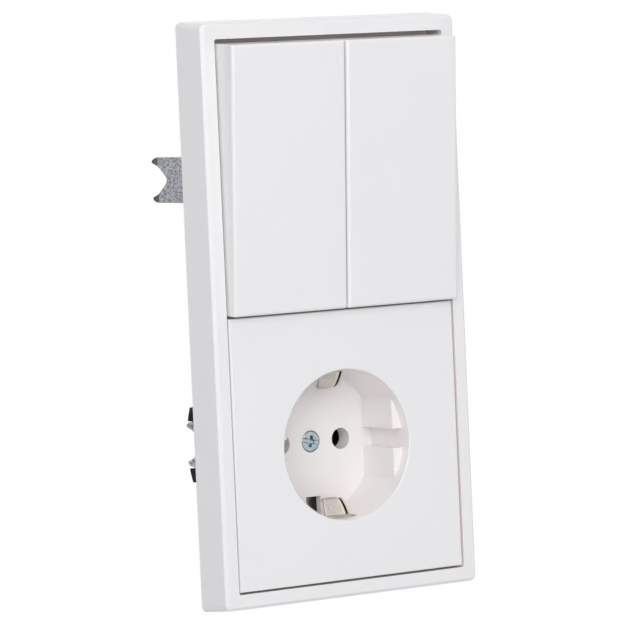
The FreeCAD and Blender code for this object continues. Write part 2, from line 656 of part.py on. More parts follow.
def support_ring(unit, z, claw_z, opening):
    """Galvanised sheet ring that lies on the wall behind the frame."""
    plate = rounded_plate(RING_HALF, RING_HALF, RING_CORNER, -RING_SHEET, 0, z)
    cuts = [opening] + rivet_holes(unit)
    run = BOX_SLOT_LENGTH / 2 - BOX_SLOT_RADIUS
    y_range = (-RING_SHEET - OVERCUT, OVERCUT)
    for end in SIDES:
        z_slot = z + end * BOX_SCREW_OFFSET
        cuts.append(block((-BOX_SLOT_RADIUS, BOX_SLOT_RADIUS), y_range, (z_slot - run, z_slot + run)))
        for shift in (-run, run):
            cuts.append(rod_y(BOX_SLOT_RADIUS, 0, z_slot + shift, y_range[0], y_range[1]))
        cuts.append(hole_y(CLAW_SCREW_RADIUS + SCREW_FIT, end * CLAW_SCREW_X, claw_z, y_range[0], y_range[1]))
    return plate.cut(cuts)


def switch_ring():
    half_x, half_z = CAP_HALF_X - CAP_STEP_X + RING_FIT, CAP_HALF_Z - CAP_STEP_Z + RING_FIT
    opening = rounded_plate(half_x, half_z, CAP_CORNER + RING_FIT, -RING_SHEET - OVERCUT, OVERCUT, SWITCH_Z)
    return support_ring("switch", SWITCH_Z, SWITCH_CLAW_Z, opening)


def socket_ring():
    opening = hole_y(SPIGOT_RADIUS + RING_FIT, 0, SOCKET_Z, -RING_SHEET - OVERCUT, OVERCUT, LARGE_ROUND_SIDES)
    return support_ring("socket", SOCKET_Z, SOCKET_CLAW_Z, opening)


def frame_holder():
    """Plate on the switch ring; its side lips hold the frame's ledge down."""
    front = HOLDER_GAP - LEDGE_FRONT
    pieces = [rounded_plate(HOLDER_HALF, HOLDER_HALF, HOLDER_CORNER, front, -RING_SHEET, SWITCH_Z)]
    lip_front = -LEDGE_FRONT - HOLDER_LIP_DEPTH
    root = HOLDER_HALF - HOLDER_LIP_ROOT
    for side in SIDES:
        for end in SIDES:
            z = SWITCH_Z + end * (HOLDER_HALF - HOLDER_LIP_INSET)
            z_range = (z - HOLDER_LIP_HALF, z + HOLDER_LIP_HALF)
            wide, narrow = side * (HOLDER_HALF + HOLDER_LIP), side * HOLDER_HALF
            pieces.append(block((side * root, wide), (lip_front, -LEDGE_FRONT), z_range))
            pieces.append(block((side * root, narrow), (lip_front, front + TOUCH), z_range))
    y_range = (lip_front - OVERCUT, OVERCUT)
    half_x = CAP_HALF_X + FREE_GAP
    half_z = SWITCH_RIVET_Z + RIVET_HEAD_RADIUS + FREE_GAP
    cuts = [block((-half_x, half_x), y_range, (SWITCH_Z - half_z, SWITCH_Z + half_z))]
    for side in SIDES:
        head = CLAW_SCREW_HEAD_RADIUS + FREE_GAP
        cuts.append(hole_y(head, side * CLAW_SCREW_X, SWITCH_CLAW_Z, y_range[0], y_range[1]))
        cuts.append(hole_y(BOX_HEAD_RADIUS, 0, SWITCH_Z + side * BOX_SCREW_OFFSET, y_range[0], y_range[1]))
    return fused(pieces).cut(cuts)


def claw(side, z, reach):
    """Spreading claw at rest, lying against its base."""
    half = CLAW_HEIGHT / 2
    line = [(CLAW_PIVOT_X, CLAW_PIVOT_Y), (CLAW_CORNER_X, CLAW_PIVOT_Y)]
    line += [(CLAW_CORNER_X, reach - CLAW_TIP_RUN), (CLAW_CORNER_X + CLAW_TIP_OUT, reach)]
    leaf = sheet(bent(line, CLAW_BEND), CLAW_SHEET, across_z, z - half, z + half)
    start = vec(CLAW_PIVOT_X, CLAW_PIVOT_Y, z - half)
    body = fused([leaf, Part.makeCylinder(CLAW_SHEET / 2, CLAW_HEIGHT, start, vec(0, 0, 1))])
    body = body.common(fork_outline(z, half, reach))
    y_range = (CLAW_PIVOT_Y - CLAW_SHEET, CLAW_PIVOT_Y + CLAW_SHEET)
    hole = hole_y(CLAW_SCREW_RADIUS + CLAW_SCREW_SWING, CLAW_SCREW_X, z, y_range[0], y_range[1])
    return sided(side, body.cut(hole))


def fork_outline(z, half, end):
    """Side outline of a claw: rounded teeth with a round notch between them."""
    x_range = (CLAW_PIVOT_X - CLAW_SHEET, CLAW_CORNER_X + CLAW_TIP_OUT + CLAW_SHEET)
    line = [(0, z - half), (end, z - half), (end, z + half), (0, z + half)]
    corners = [across_x(point, x_range[0]) for point in bent(line, CLAW_TOOTH_ROUND)]
    outline = prism(corners, vec(x_range[1] - x_range[0], 0, 0))
    notch_y = end - CLAW_NOTCH_DEPTH + CLAW_NOTCH_RADIUS
    notch = hole_x(CLAW_NOTCH_RADIUS, x_range[0], x_range[1], notch_y, z)
    gap = block(x_range, (notch_y, end + OVERCUT), (z - CLAW_NOTCH_RADIUS, z + CLAW_NOTCH_RADIUS))
    return outline.cut([notch, gap])


def claw_screw(side, z):
    front = -RING_SHEET - CLAW_SCREW_HEAD
    head = peg_y(CLAW_SCREW_HEAD_RADIUS, CLAW_SCREW_X, z, front, -RING_SHEET)
    shank = rod_y(CLAW_SCREW_RADIUS, CLAW_SCREW_X, z, -RING_SHEET - TOUCH, CLAW_SCREW_END_Y)
    half = CLAW_SCREW_SLOT / 2
    slot_x = (CLAW_SCREW_X - CLAW_SCREW_HEAD_RADIUS, CLAW_SCREW_X + CLAW_SCREW_HEAD_RADIUS)
    slot = block(slot_x, (front - OVERCUT, front + CLAW_SCREW_HEAD / 2), (z - half, z + half))
    return sided(side, fused([head, shank]).cut(slot))


def recess_tool():
    """Space of the plug recess: a bore with a bevelled lip, less the two side pads."""
    front = -FRAME_DEPTH
    lip = RECESS_LIP
    wall = RECESS_RADIUS
    profile = [(0, RECESS_FLOOR_Y), (wall, RECESS_FLOOR_Y), (wall, front + lip), (wall + lip, front)]
    profile += [(wall + lip, front - OVERCUT), (0, front - OVERCUT)]
    bore = revolved(profile, SOCKET_Z)
    ledge = front + PAD_LEDGE
    back = RECESS_FLOOR_Y + OVERCUT
    outline = [(PAD_X, ledge + PAD_EDGE), (PAD_X + PAD_EDGE, ledge), (CUP_RADIUS, ledge), (CUP_RADIUS, back)]
    outline.append((PAD_X, back))
    pads = []
    for side in SIDES:
        for end in SIDES:
            z = SOCKET_Z + end * GROOVE_WIDTH / 2
            corners = [vec(side * x, y, z) for x, y in outline]
            pads.append(prism(corners, vec(0, 0, end * RECESS_RADIUS)))
    return bore.cut(pads)


def clip_windows():
    front = RECESS_FLOOR_Y + CLIP_TOP_Y - CLIP_WINDOW_FRONT
    y_range = (front, RECESS_FLOOR_Y + CLIP_TIP_Y + CLIP_WINDOW_BACK)
    half = CLIP_HALF + CLIP_WINDOW_SIDE
    inner, outer = RECESS_RADIUS - CLIP_WINDOW_DEPTH, CUP_RADIUS + OVERCUT
    return [block((-half, half), y_range, (SOCKET_Z + end * inner, SOCKET_Z + end * outer)) for end in SIDES]


def socket_cover():
    half = COVER_HALF
    z_range = (SOCKET_Z - half, SOCKET_Z + half)
    shell = round_box((-half, half), (-FRAME_DEPTH, -LEDGE_FRONT), z_range, COVER_EDGE)
    inner = half - COVER_WALL
    hollow_z = (SOCKET_Z - inner, SOCKET_Z + inner)
    shell = shell.cut(block((-inner, inner), (COVER_SKIN - FRAME_DEPTH, OVERCUT), hollow_z))
    cup_front = COVER_SKIN / 2 - FRAME_DEPTH
    pieces = [shell, peg_y(CUP_RADIUS, 0, SOCKET_Z, cup_front, CUP_BACK_Y, LARGE_ROUND_SIDES)]
    for side in SIDES:
        pieces.append(peg_y(PIN_BOSS_RADIUS, side * PIN_X, SOCKET_Z, RECESS_FLOOR_Y, PIN_HOLE_END_Y))
    boss_end = RECESS_FLOOR_Y + CENTRE_BOSS_DEPTH
    pieces.append(peg_y(CENTRE_SEAT_RADIUS + CENTRE_BOSS_WALL, 0, SOCKET_Z, RECESS_FLOOR_Y, boss_end))
    cuts = [recess_tool()] + clip_windows()
    hole_end = PIN_HOLE_END_Y + OVERCUT
    for side in SIDES:
        cuts.append(rod_y(PIN_HOLE_RADIUS, side * PIN_X, SOCKET_Z, RECESS_FLOOR_Y - OVERCUT, hole_end))
    seat_y = (RECESS_FLOOR_Y - OVERCUT, RECESS_FLOOR_Y + CENTRE_HEAD)
    cuts.append(rod_y(CENTRE_SEAT_RADIUS, 0, SOCKET_Z, seat_y[0], seat_y[1]))
    cuts.append(hole_y(CENTRE_SCREW_RADIUS + CENTRE_SCREW_PLAY, 0, SOCKET_Z, seat_y[0], boss_end + OVERCUT))
    slot_z = (SOCKET_Z - RECESS_RADIUS, SOCKET_Z - RECESS_RADIUS + FLOOR_SLOT_LENGTH)
    slot_y = (RECESS_FLOOR_Y - OVERCUT, CUP_BACK_Y + OVERCUT)
    cuts.append(block((-FLOOR_SLOT_HALF, FLOOR_SLOT_HALF), slot_y, slot_z))
    return fused(pieces).cut(cuts)


def earth_bracket():
    """Strip across the base with a folded contact clip at each end."""
    ends = []
    for end in SIDES:
        line = [(BRACKET_Y, SOCKET_Z + end * (RECESS_RADIUS + CLIP_LEG))]
        line += [(RECESS_FLOOR_Y + y, SOCKET_Z + end * (RECESS_RADIUS + out)) for y, out in CLIP_LINE]
        ends.append(line)
    line = ends[0][::-1] + ends[1]
    body = sheet(bent(line, BRACKET_BEND), BRACKET_SHEET, across_x, -CLIP_HALF, CLIP_HALF)
    hole_end = BRACKET_BACK_Y + OVERCUT
    cuts = [hole_y(CENTRE_SCREW_RADIUS + CENTRE_SCREW_PLAY, 0, SOCKET_Z, RECESS_FLOOR_Y, hole_end)]
    outside = (CLIP_HALF, CLIP_NOSE_HALF)
    slit = (CLIP_HALF - CLIP_WING - CLIP_SLIT, CLIP_NOSE_HALF - CLIP_WING_NOSE - CLIP_SLIT)
    for end in SIDES:
        cuts += [clip_cut(side, end, outside, CLIP_HALF, 0) for side in SIDES]
        cuts.append(clip_cut(1, end, slit, CLIP_SLIT, CLIP_SLIT_START))
    return body.cut(cuts)


def clip_cut(side, end, half_widths, width, start):
    """Slanted prism beside a clip's tongue, from the recess wall to its nose."""
    root = RECESS_RADIUS + CLIP_ROOT
    nose = RECESS_RADIUS + CLIP_NOSE - BRACKET_SHEET
    front = RECESS_FLOOR_Y + CLIP_ROOT_Y - BRACKET_SHEET + start
    back = RECESS_FLOOR_Y + CLIP_TIP_Y + BRACKET_SHEET
    ring = [(half_widths[0], root), (half_widths[1], nose), (half_widths[1] + width, nose)]
    ring.append((half_widths[0] + width, root))
    corners = [vec(side * x, front, SOCKET_Z + end * out) for x, out in ring]
    return prism(corners, vec(0, back - front, 0))


def socket_base():
    pieces = [rod_y(BASE_RADIUS, 0, SOCKET_Z, 0, BASE_DEPTH)]
    pieces.append(peg_y(SPIGOT_RADIUS, 0, SOCKET_Z, -SPIGOT_RISE, TOUCH, LARGE_ROUND_SIDES))
    front, back = BASE_DEPTH - TOUCH, REAR_BLOCK_Y
    pieces.append(rounded_plate(REAR_BLOCK_X, REAR_BLOCK_Z, REAR_BLOCK_CORNER, front, back, SOCKET_Z))
    bevel = GUIDE_BEVEL
    guide = [(GUIDE_INNER_X, 0), (GUIDE_X, 0), (GUIDE_X, GUIDE_DEPTH - bevel), (GUIDE_X - bevel, GUIDE_DEPTH)]
    guide.append((GUIDE_INNER_X, GUIDE_DEPTH))
    for side in SIDES:
        corners = [vec(side * x, y, SOCKET_CLAW_Z - GUIDE_HEIGHT / 2) for x, y in guide]
        pieces.append(prism(corners, vec(0, 0, GUIDE_HEIGHT)))
    front = -SPIGOT_RISE - OVERCUT
    leg = RECESS_RADIUS + CLIP_LEG + BRACKET_SHEET / 2 + FREE_GAP
    half = CLIP_HALF + FREE_GAP
    cuts = claw_wall_cuts(SOCKET_CLAW_Z, GUIDE_DEPTH) + rivet_holes("socket")
    cuts.append(peg_y(CAVITY_RADIUS, 0, SOCKET_Z, front, CAVITY_FLOOR_Y, LARGE_ROUND_SIDES))
    cuts.append(block((-half, half), (front, BRACKET_BACK_Y), (SOCKET_Z - leg, SOCKET_Z + leg)))
    hole_end = CENTRE_SCREW_END_Y + FREE_GAP
    cuts.append(hole_y(CENTRE_SCREW_RADIUS + SCREW_FIT, 0, SOCKET_Z, CAVITY_FLOOR_Y, hole_end))
    boss = PIN_BOSS_RADIUS + FREE_GAP
    for side in SIDES:
        x = side * PIN_X
        cuts.append(hole_y(boss, x, SOCKET_Z, CAVITY_FLOOR_Y - OVERCUT, PIN_HOLE_END_Y + FREE_GAP))
        cuts.append(peg_y(SLEEVE_RADIUS + SLIDE_FIT, x, SOCKET_Z, CAVITY_FLOOR_Y, SLEEVE_END_Y))
    wires = []
    for side in SIDES:
        for end in SIDES:
            wires.append((side * (REAR_BLOCK_X - SOCKET_WIRE_INSET), SOCKET_Z + end * SOCKET_WIRE_GAP / 2))
        wires.append((side * SOCKET_EARTH_GAP / 2, SOCKET_Z - REAR_BLOCK_Z + SOCKET_WIRE_INSET))
    cuts += wire_holes(wires, REAR_BLOCK_Y)
    cuts += button_pockets(SOCKET_BUTTON, SOCKET_Z, REAR_BLOCK_Y)
    return fused(pieces).cut(cuts)


def contact_sleeve(side):
    tube = peg_y(SLEEVE_RADIUS, PIN_X, SOCKET_Z, SLEEVE_FRONT_Y, SLEEVE_END_Y)
    bore = rod_y(SLEEVE_BORE, PIN_X, SOCKET_Z, SLEEVE_FRONT_Y - OVERCUT, SLEEVE_END_Y + OVERCUT)
    half = SLEEVE_SLIT / 2
    slit_y = (SLEEVE_FRONT_Y - OVERCUT, SLEEVE_END_Y - SLEEVE_SOLID_END)
    slit = block((PIN_X - half, PIN_X + half), slit_y, (SOCKET_Z, SOCKET_Z + 2 * SLEEVE_RADIUS))
    return sided(side, tube.cut([bore, slit]))


def centre_screw():
    """Round-headed screw with a full slot and a short cross."""
    front = RECESS_FLOOR_Y
    head = rod_y(CENTRE_HEAD_RADIUS, 0, SOCKET_Z, front, front + CENTRE_HEAD)
    shank = peg_y(CENTRE_SCREW_RADIUS, 0, SOCKET_Z, front + CENTRE_HEAD - TOUCH, CENTRE_SCREW_END_Y)
    arms = [(CENTRE_HEAD_RADIUS, SLOT_WIDTH / 2, SLOT_DEPTH)]
    arms.append((CROSS_WIDTH / 2, CROSS_LENGTH / 2, CROSS_DEPTH))
    arms.append((CROSS_LENGTH / 2, CROSS_WIDTH / 2, CROSS_DEPTH))
    cuts = []
    for half_x, half_z, depth in arms:
        z_range = (SOCKET_Z - half_z, SOCKET_Z + half_z)
        cuts.append(block((-half_x, half_x), (front - OVERCUT, front + depth), z_range))
    return fused([head, shank]).cut(cuts)


def all_parts():
    parts = {"cover_frame": cover_frame()}
    parts["switch_cap"] = switch_cap()
    parts["switch_base"] = switch_base()
    parts["switch_ring"] = switch_ring()
    parts["switch_rivets"] = rivets("switch")
    parts["frame_holder"] = frame_holder()
    parts["fixed_contacts"] = fixed_contacts()
    parts["socket_cover"] = socket_cover()
    parts["socket_base"] = socket_base()
    parts["socket_ring"] = socket_ring()
    parts["socket_rivets"] = rivets("socket")
    parts["earth_bracket"] = earth_bracket()
    parts["centre_screw"] = centre_screw()
    for side, word in zip(SIDES, ("left", "right")):
        parts["rocker_" + word] = rocker(side)
        parts["carrier_" + word] = carrier(side)
        parts["plunger_" + word] = plunger(side)
        parts["contact_lever_" + word] = contact_lever(side)
        parts["contact_sleeve_" + word] = contact_sleeve(side)
        parts["switch_claw_" + word] = claw(side, SWITCH_CLAW_Z, SWITCH_CLAW_REACH)
        parts["switch_claw_screw_" + word] = claw_screw(side, SWITCH_CLAW_Z)
        parts["socket_claw_" + word] = claw(side, SOCKET_CLAW_Z, SOCKET_CLAW_REACH)
        parts["socket_claw_screw_" + word] = claw_screw(side, SOCKET_CLAW_Z)
        parts["switch_release_" + word] = release_button(side, SWITCH_BUTTON, SWITCH_Z, SWITCH_BASE_DEPTH)
        parts["socket_release_" + word] = release_button(side, SOCKET_BUTTON, SOCKET_Z, REAR_BLOCK_Y)
    return parts


def main():
    os.makedirs("parts", exist_ok=True)
    for name, shape in all_parts().items():
        shape.exportStep("parts/" + name + ".step")
        print(name, shape.isValid(), len(shape.Solids), len(shape.Faces))


main()
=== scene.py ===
import json
import logging
import math
from dataclasses import dataclass
from enum import Enum
from typing import Any, Callable, Optional, Sequence

import bmesh
import bpy
import numpy as np
from mathutils import Matrix, Vector


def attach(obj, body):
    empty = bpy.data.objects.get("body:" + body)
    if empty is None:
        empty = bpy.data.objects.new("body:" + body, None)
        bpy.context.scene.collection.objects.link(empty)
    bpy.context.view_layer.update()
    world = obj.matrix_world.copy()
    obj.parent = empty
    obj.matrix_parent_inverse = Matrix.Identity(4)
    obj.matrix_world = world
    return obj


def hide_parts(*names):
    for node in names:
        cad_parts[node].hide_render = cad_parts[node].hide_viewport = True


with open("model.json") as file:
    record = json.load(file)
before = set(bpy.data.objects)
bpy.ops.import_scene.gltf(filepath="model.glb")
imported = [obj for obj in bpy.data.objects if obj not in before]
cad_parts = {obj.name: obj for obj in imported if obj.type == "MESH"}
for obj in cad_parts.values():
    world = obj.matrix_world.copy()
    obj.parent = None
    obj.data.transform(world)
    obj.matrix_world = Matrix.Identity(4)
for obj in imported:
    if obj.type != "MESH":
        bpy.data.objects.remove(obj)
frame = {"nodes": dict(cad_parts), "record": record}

LOG = logging.getLogger("switch_and_socket")
MM = 0.001
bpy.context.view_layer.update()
BODY_OF = {node: body for body, nodes in frame["record"]["behaviour"]["bodies"].items() for node in nodes}
Colour = tuple[float, float, float]
Point = tuple[float, float, float]

WELD_DISTANCE = 1e-7
COLLAPSED_EDGE = 1e-8
CAD_WELD_DISTANCE = 1e-6
CAD_FLAT_ANGLE = 0.4
SHARP_ANGLE = 40.0


class Side(Enum):
    """Left and right halves of the unit, seen from the front."""

    LEFT = -1
    RIGHT = 1

    @property
    def word(self) -> str:
        """The side's name as used in the frame's node names."""
        return self.name.lower()


class Signal:
    """One output socket, so that shader maths reads as plain arithmetic."""

    def __init__(self, graph: "Graph", socket: bpy.types.NodeSocket) -> None:
        """Wraps a socket of a graph.

        Args:
            graph: The graph that owns the socket.
            socket: The output socket.
        """
        self.graph = graph
        self.socket = socket

    def _combine(self, operation: str, first: Any, second: Any) -> "Signal":
        """Adds one maths node.

        Args:
            operation: The node's operation.
            first: Left operand.
            second: Right operand.

        Returns:
            The node's result.
        """
        return self.graph.add("ShaderNodeMath", {"operation": operation}, {0: first, 1: second})

    def __add__(self, other: Any) -> "Signal":
        """Sum."""
        return self._combine("ADD", self, other)

    def __radd__(self, other: Any) -> "Signal":
        """Sum, reflected."""
        return self._combine("ADD", other, self)

    def __sub__(self, other: Any) -> "Signal":
        """Difference."""
        return self._combine("SUBTRACT", self, other)

    def __mul__(self, other: Any) -> "Signal":
        """Product."""
        return self._combine("MULTIPLY", self, other)

    def larger(self, other: Any) -> "Signal":
        """The larger of two values."""
        return self._combine("MAXIMUM", self, other)

    def fit(self, low: float, high: float, out_low: float, out_high: float) -> "Signal":
        """Maps a range smoothly onto another.

        Args:
            low: Input that gives out_low.
            high: Input that gives out_high.
            out_low: Result at and below low.
            out_high: Result at and above high.

        Returns:
            The mapped value.
        """
        values = {"Value": self, "From Min": low, "From Max": high, "To Min": out_low, "To Max": out_high}
        return self.graph.add("ShaderNodeMapRange", {"interpolation_type": "SMOOTHSTEP"}, values)

    def spread(self) -> "Signal":
        """Stretches noise, which keeps between about 0.3 and 0.7, to run from 0 to 1."""
        return self.fit(0.3, 0.7, 0.0, 1.0)


class Graph:
    """A node tree that is filled by one method."""

    def __init__(self, tree: bpy.types.NodeTree) -> None:
        """Empties the tree.

        Args:
            tree: The node tree to fill.
        """
        self.tree = tree
        tree.nodes.clear()

    def add(self, kind: str, settings: dict[str, Any], values: dict, output: Any = 0) -> Optional[Signal]:
        """Adds a node, sets it up and feeds its sockets.

        Args:
            kind: Blender's node type.
            settings: The node's own settings.
            values: A number, a colour or a signal for each named or numbered socket.
            output: Name or number of the output to return.

        Returns:
            The chosen output, or None where the node has none.
        """
        node = self.tree.nodes.new(kind)
        for name, value in settings.items():
            setattr(node, name, value)
        for name, value in values.items():
            socket = node.inputs[name]
            if isinstance(value, Signal):
                self.tree.links.new(value.socket, socket)
            elif isinstance(value, tuple) and socket.type == "RGBA":
                socket.default_value = (*value, 1.0)
            else:
                socket.default_value = value
        if not node.outputs:
            return None
        return Signal(self, node.outputs[output])

    def place(self, scale: Point = (1.0, 1.0, 1.0)) -> Signal:
        """Object coordinates in metres, stretched along each axis.

        Args:
            scale: Stretch along X, Y and Z.

        Returns:
            The vector.
        """
        here = self.add("ShaderNodeTexCoord", {}, {}, "Object")
        return self.add("ShaderNodeMapping", {}, {"Vector": here, "Scale": scale})

    def noise(self, where: Signal, scale: float, detail: float = 3.0, roughness: float = 0.5) -> Signal:
        """Fractal noise from 0 to 1.

        Args:
            where: Coordinates.
            scale: Features per metre.
            detail: Octaves.
            roughness: Strength of the finer octaves.

        Returns:
            The value.
        """
        values = {"Vector": where, "Scale": scale, "Detail": detail, "Roughness": roughness}
        return self.add("ShaderNodeTexNoise", {}, values, 0)

    def mix(self, factor: Any, first: Any, second: Any) -> Signal:
        """Blend of two colours.

        Args:
            factor: 0 gives first, 1 gives second.
            first: First colour.
            second: Second colour.

        Returns:
            The colour.
        """
        values = {0: factor, 6: first, 7: second}
        return self.add("ShaderNodeMix", {"data_type": "RGBA"}, values, 2)

    def bump(self, height: Signal, distance: float) -> Signal:
        """Surface relief from a height.

        Args:
            height: Height from 0 to 1.
            distance: Depth of a full step in metres.

        Returns:
            The normal.
        """
        return self.add("ShaderNodeBump", {}, {"Height": height, "Distance": distance, "Strength": 1.0})

    def surface(self, values: dict[str, Any]) -> None:
        """Ends the graph in the standard surface shader.

        Args:
            values: Numbers, colours and signals for the shader's sockets.
        """
        shader = self.add("ShaderNodeBsdfPrincipled", {}, values)
        self.add("ShaderNodeOutputMaterial", {}, {"Surface": shader})


def new_material(name: str) -> tuple[bpy.types.Material, Graph]:
    """Makes an empty node material.

    Args:
        name: The material's name.

    Returns:
        The material and its graph.
    """
    material = bpy.data.materials.new(name)
    material.use_nodes = True
    return material, Graph(material.node_tree)


@dataclass(frozen=True)
class MouldedPlastic:
    """Injection-moulded plastic with faint flow marks and a soft ripple in its gloss."""

    name: str
    slot: str
    colour: Colour
    shade: Colour
    roughness: float = 0.28
    roughness_swing: float = 0.05
    ripple: float = 4e-6
    ripple_scale: float = 700.0
    ior: float = 1.49
    flow_scale: float = 34.0
    flow_share: float = 0.7
    speck_scale: float = 2600.0
    speck_roughness: float = 0.03

    def material(self) -> bpy.types.Material:
        """Builds the material: colour, gloss and relief all vary with noise."""
        material, graph = new_material(self.name)
        where = graph.place()
        flow = graph.noise(where, self.flow_scale, 4.0, 0.55)
        speck = graph.noise(where, self.speck_scale, 2.0)
        mottle = flow.spread() * self.flow_share + speck * (1 - self.flow_share)
        swing = (flow - 0.5) * (2 * self.roughness_swing) + (speck - 0.5) * self.speck_roughness
        relief = graph.noise(where, self.ripple_scale, 2.0)
        graph.surface({
            "Base Color": graph.mix(mottle, self.shade, self.colour),
            "Roughness": self.roughness + swing,
            "Normal": graph.bump(relief, self.ripple),
            "IOR": self.ior,
        })
        return material


@dataclass(frozen=True)
class GalvanisedSheet:
    """Zinc-dipped sheet with small crystals that each catch the light differently."""

    name: str
    slot: str
    bright: Colour = (0.655, 0.665, 0.715)
    dull: Colour = (0.03, 0.032, 0.037)
    crystal: float = 2700.0
    roughness: float = 0.42
    metallic: float = 0.9
    crystal_share: float = 0.8
    crystal_roughness: float = 0.25
    crystal_relief: float = 0.6
    cloud_scale: float = 400.0
    scratch_scale: float = 5000.0
    scratch_stretch: Point = (1.0, 0.4, 1.0)
    scratch_roughness: float = 0.1
    relief: float = 2.5e-5

    def material(self) -> bpy.types.Material:
        """Builds the material: cells of a crystal pattern set colour, gloss and tilt."""
        material, graph = new_material(self.name)
        where = graph.place()
        cloud = graph.noise(where, self.cloud_scale, 2.0)
        pattern = {"Vector": where, "Scale": self.crystal}
        cells = graph.add("ShaderNodeTexVoronoi", {"feature": "F1"}, pattern, "Color")
        cell = graph.add("ShaderNodeSeparateColor", {}, {"Color": cells}, 0)
        grey = cell * self.crystal_share + cloud * (1 - self.crystal_share)
        scratch = graph.noise(graph.place(self.scratch_stretch), self.scratch_scale, 2.0)
        swing = (cell - 0.5) * self.crystal_roughness + (scratch - 0.5) * self.scratch_roughness
        height = cell * self.crystal_relief + scratch * (1 - self.crystal_relief)
        graph.surface({
            "Base Color": graph.mix(grey, self.dull, self.bright),
            "Metallic": self.metallic,
            "Roughness": self.roughness + swing,
            "Normal": graph.bump(height, self.relief),
        })
        return material


@dataclass(frozen=True)
class PlatedMetal:
    """Plated or bare metal with a fine grain and a slightly cloudy tone."""

    name: str
    slot: str
    bright: Colour
    dull: Colour
    roughness: float = 0.3
    metallic: float = 1.0
    grain: Point = (1.0, 1.0, 1.0)
    grain_scale: float = 2400.0
    relief: float = 6e-6
    grain_roughness: float = 0.16
    cloud_scale: float = 220.0
    cloud_share: float = 0.6
    cloud_roughness: float = 0.12

    def material(self) -> bpy.types.Material:
        """Builds the material: grain and clouds set colour, gloss and relief."""
        material, graph = new_material(self.name)
        cloud = graph.noise(graph.place(), self.cloud_scale, 4.0, 0.6)
        grain = graph.noise(graph.place(self.grain), self.grain_scale, 3.0)
        tone = cloud.spread() * self.cloud_share + grain * (1 - self.cloud_share)
        swing = (grain - 0.5) * self.grain_roughness + (cloud - 0.5) * self.cloud_roughness
        graph.surface({
            "Base Color": graph.mix(tone, self.dull, self.bright),
            "Metallic": self.metallic,
            "Roughness": self.roughness + swing,
            "Normal": graph.bump(grain, self.relief),
        })
        return material


WHITE_GLOSS = MouldedPlastic(
    "white_gloss", "white_gloss", (0.925, 0.896, 0.888), (0.913, 0.885, 0.878), 0.2, 0.04,
)
# Painted light: a warmer white inside the plug recess, standing for warm light bounced between its walls.
WHITE_RECESS_PAINTED_LIGHT = MouldedPlastic(
    "white_recess", "white_gloss", (0.945, 0.902, 0.88), (0.935, 0.892, 0.872), 0.2, 0.04,
)
# Painted shade: a warmer white for the frame's faces inside the opening, standing for warm light bounced in
# the gaps.
WHITE_APERTURE_PAINTED_SHADE = MouldedPlastic(
    "white_aperture", "white_gloss", (0.96, 0.865, 0.835), (0.95, 0.855, 0.825), 0.25, 0.04,
)
# Painted shade: a darker, warmer white for inner parts, standing for the shade deep in the gaps.
WHITE_INNER_PAINTED_SHADE = MouldedPlastic(
    "white_inner", "white_inner", (0.75, 0.67, 0.635), (0.72, 0.64, 0.605), 0.5, 0.06, 8e-6,
)
GREY_BASE = MouldedPlastic(
    "grey_base", "grey_base", (0.5, 0.51, 0.52), (0.46, 0.47, 0.48), 0.55, 0.07, 1.2e-5,
)
BLACK_BASE = MouldedPlastic(
    "black_base", "black_base", (0.01, 0.01, 0.011), (0.006, 0.006, 0.007), 0.5, 0.08, 1.2e-5, ior=1.15,
)
RELEASE_GREY = MouldedPlastic(
    "release_grey", "release_grey", (0.28, 0.29, 0.31), (0.25, 0.26, 0.28), 0.5, 0.06, 8e-6,
)
GALVANISED = GalvanisedSheet("galvanised", "galvanised")
WORN_TIP = GalvanisedSheet("worn_tip", "galvanised", (0.16, 0.165, 0.18), (0.07, 0.07, 0.075), 4200.0, 0.5)
ROLLED = (1.0, 0.1, 1.0)
ZINC = PlatedMetal("zinc", "zinc", (0.66, 0.72, 0.75), (0.42, 0.48, 0.51))
HEAD_ZINC = PlatedMetal(
    "zinc_head", "zinc", (0.62, 0.69, 0.72), (0.3, 0.37, 0.4), 0.26, grain_scale=3200.0, relief=1.2e-5,
)
NICKEL = PlatedMetal("nickel", "nickel", (0.72, 0.67, 0.62), (0.5, 0.46, 0.42), grain=ROLLED)
BRASS = PlatedMetal("contact_brass", "contact_brass", (0.8, 0.62, 0.3), (0.62, 0.46, 0.2), 0.32, grain=ROLLED)
# Painted shade: the pin contact sleeves are painted near black, so the pin holes read dark.
SLEEVE_PAINTED_SHADE = PlatedMetal(
    "tarnished_brass", "contact_brass", (0.14, 0.1, 0.055), (0.08, 0.058, 0.03), 0.45, grain=ROLLED,
)
# Painted shade: a near-black sheet laid behind the clips' slits, where there is only shade.
SHADE_SHEET = PlatedMetal("spring_leaf", "nickel", (0.03, 0.02, 0.012), (0.012, 0.008, 0.005), 0.5, 0.3)
# Partly painted highlight: pale brass for cut edges, whose light tone also paints the edge highlight by the
# slit.
CUT_BRASS_AND_HIGHLIGHT = PlatedMetal("cut_edge_brass", "nickel", (0.84, 0.76, 0.61), (0.7, 0.6, 0.45), 0.35)


class Palette:
    """Builds each finish once and hands out its material."""

    def __init__(self) -> None:
        """Starts with no material made."""
        self.made: dict[Any, bpy.types.Material] = {}

    def __getitem__(self, finish: Any) -> bpy.types.Material:
        """The material of a finish.

        Args:
            finish: A finish with a name and a material method.

        Returns:
            The material, built at first use.
        """
        if finish not in self.made:
            self.made[finish] = finish.material()
        return self.made[finish]

    def dress(self, finish: Any, *nodes: str) -> None:
        """Gives CAD nodes one finish.

        Args:
            finish: The finish.
            nodes: Names of the nodes.
        """
        for name in nodes:
            mesh = frame["nodes"][name].data
            mesh.materials.clear()
            mesh.materials.append(self[finish])
            LOG.info("dressed %s in %s", name, finish.name)


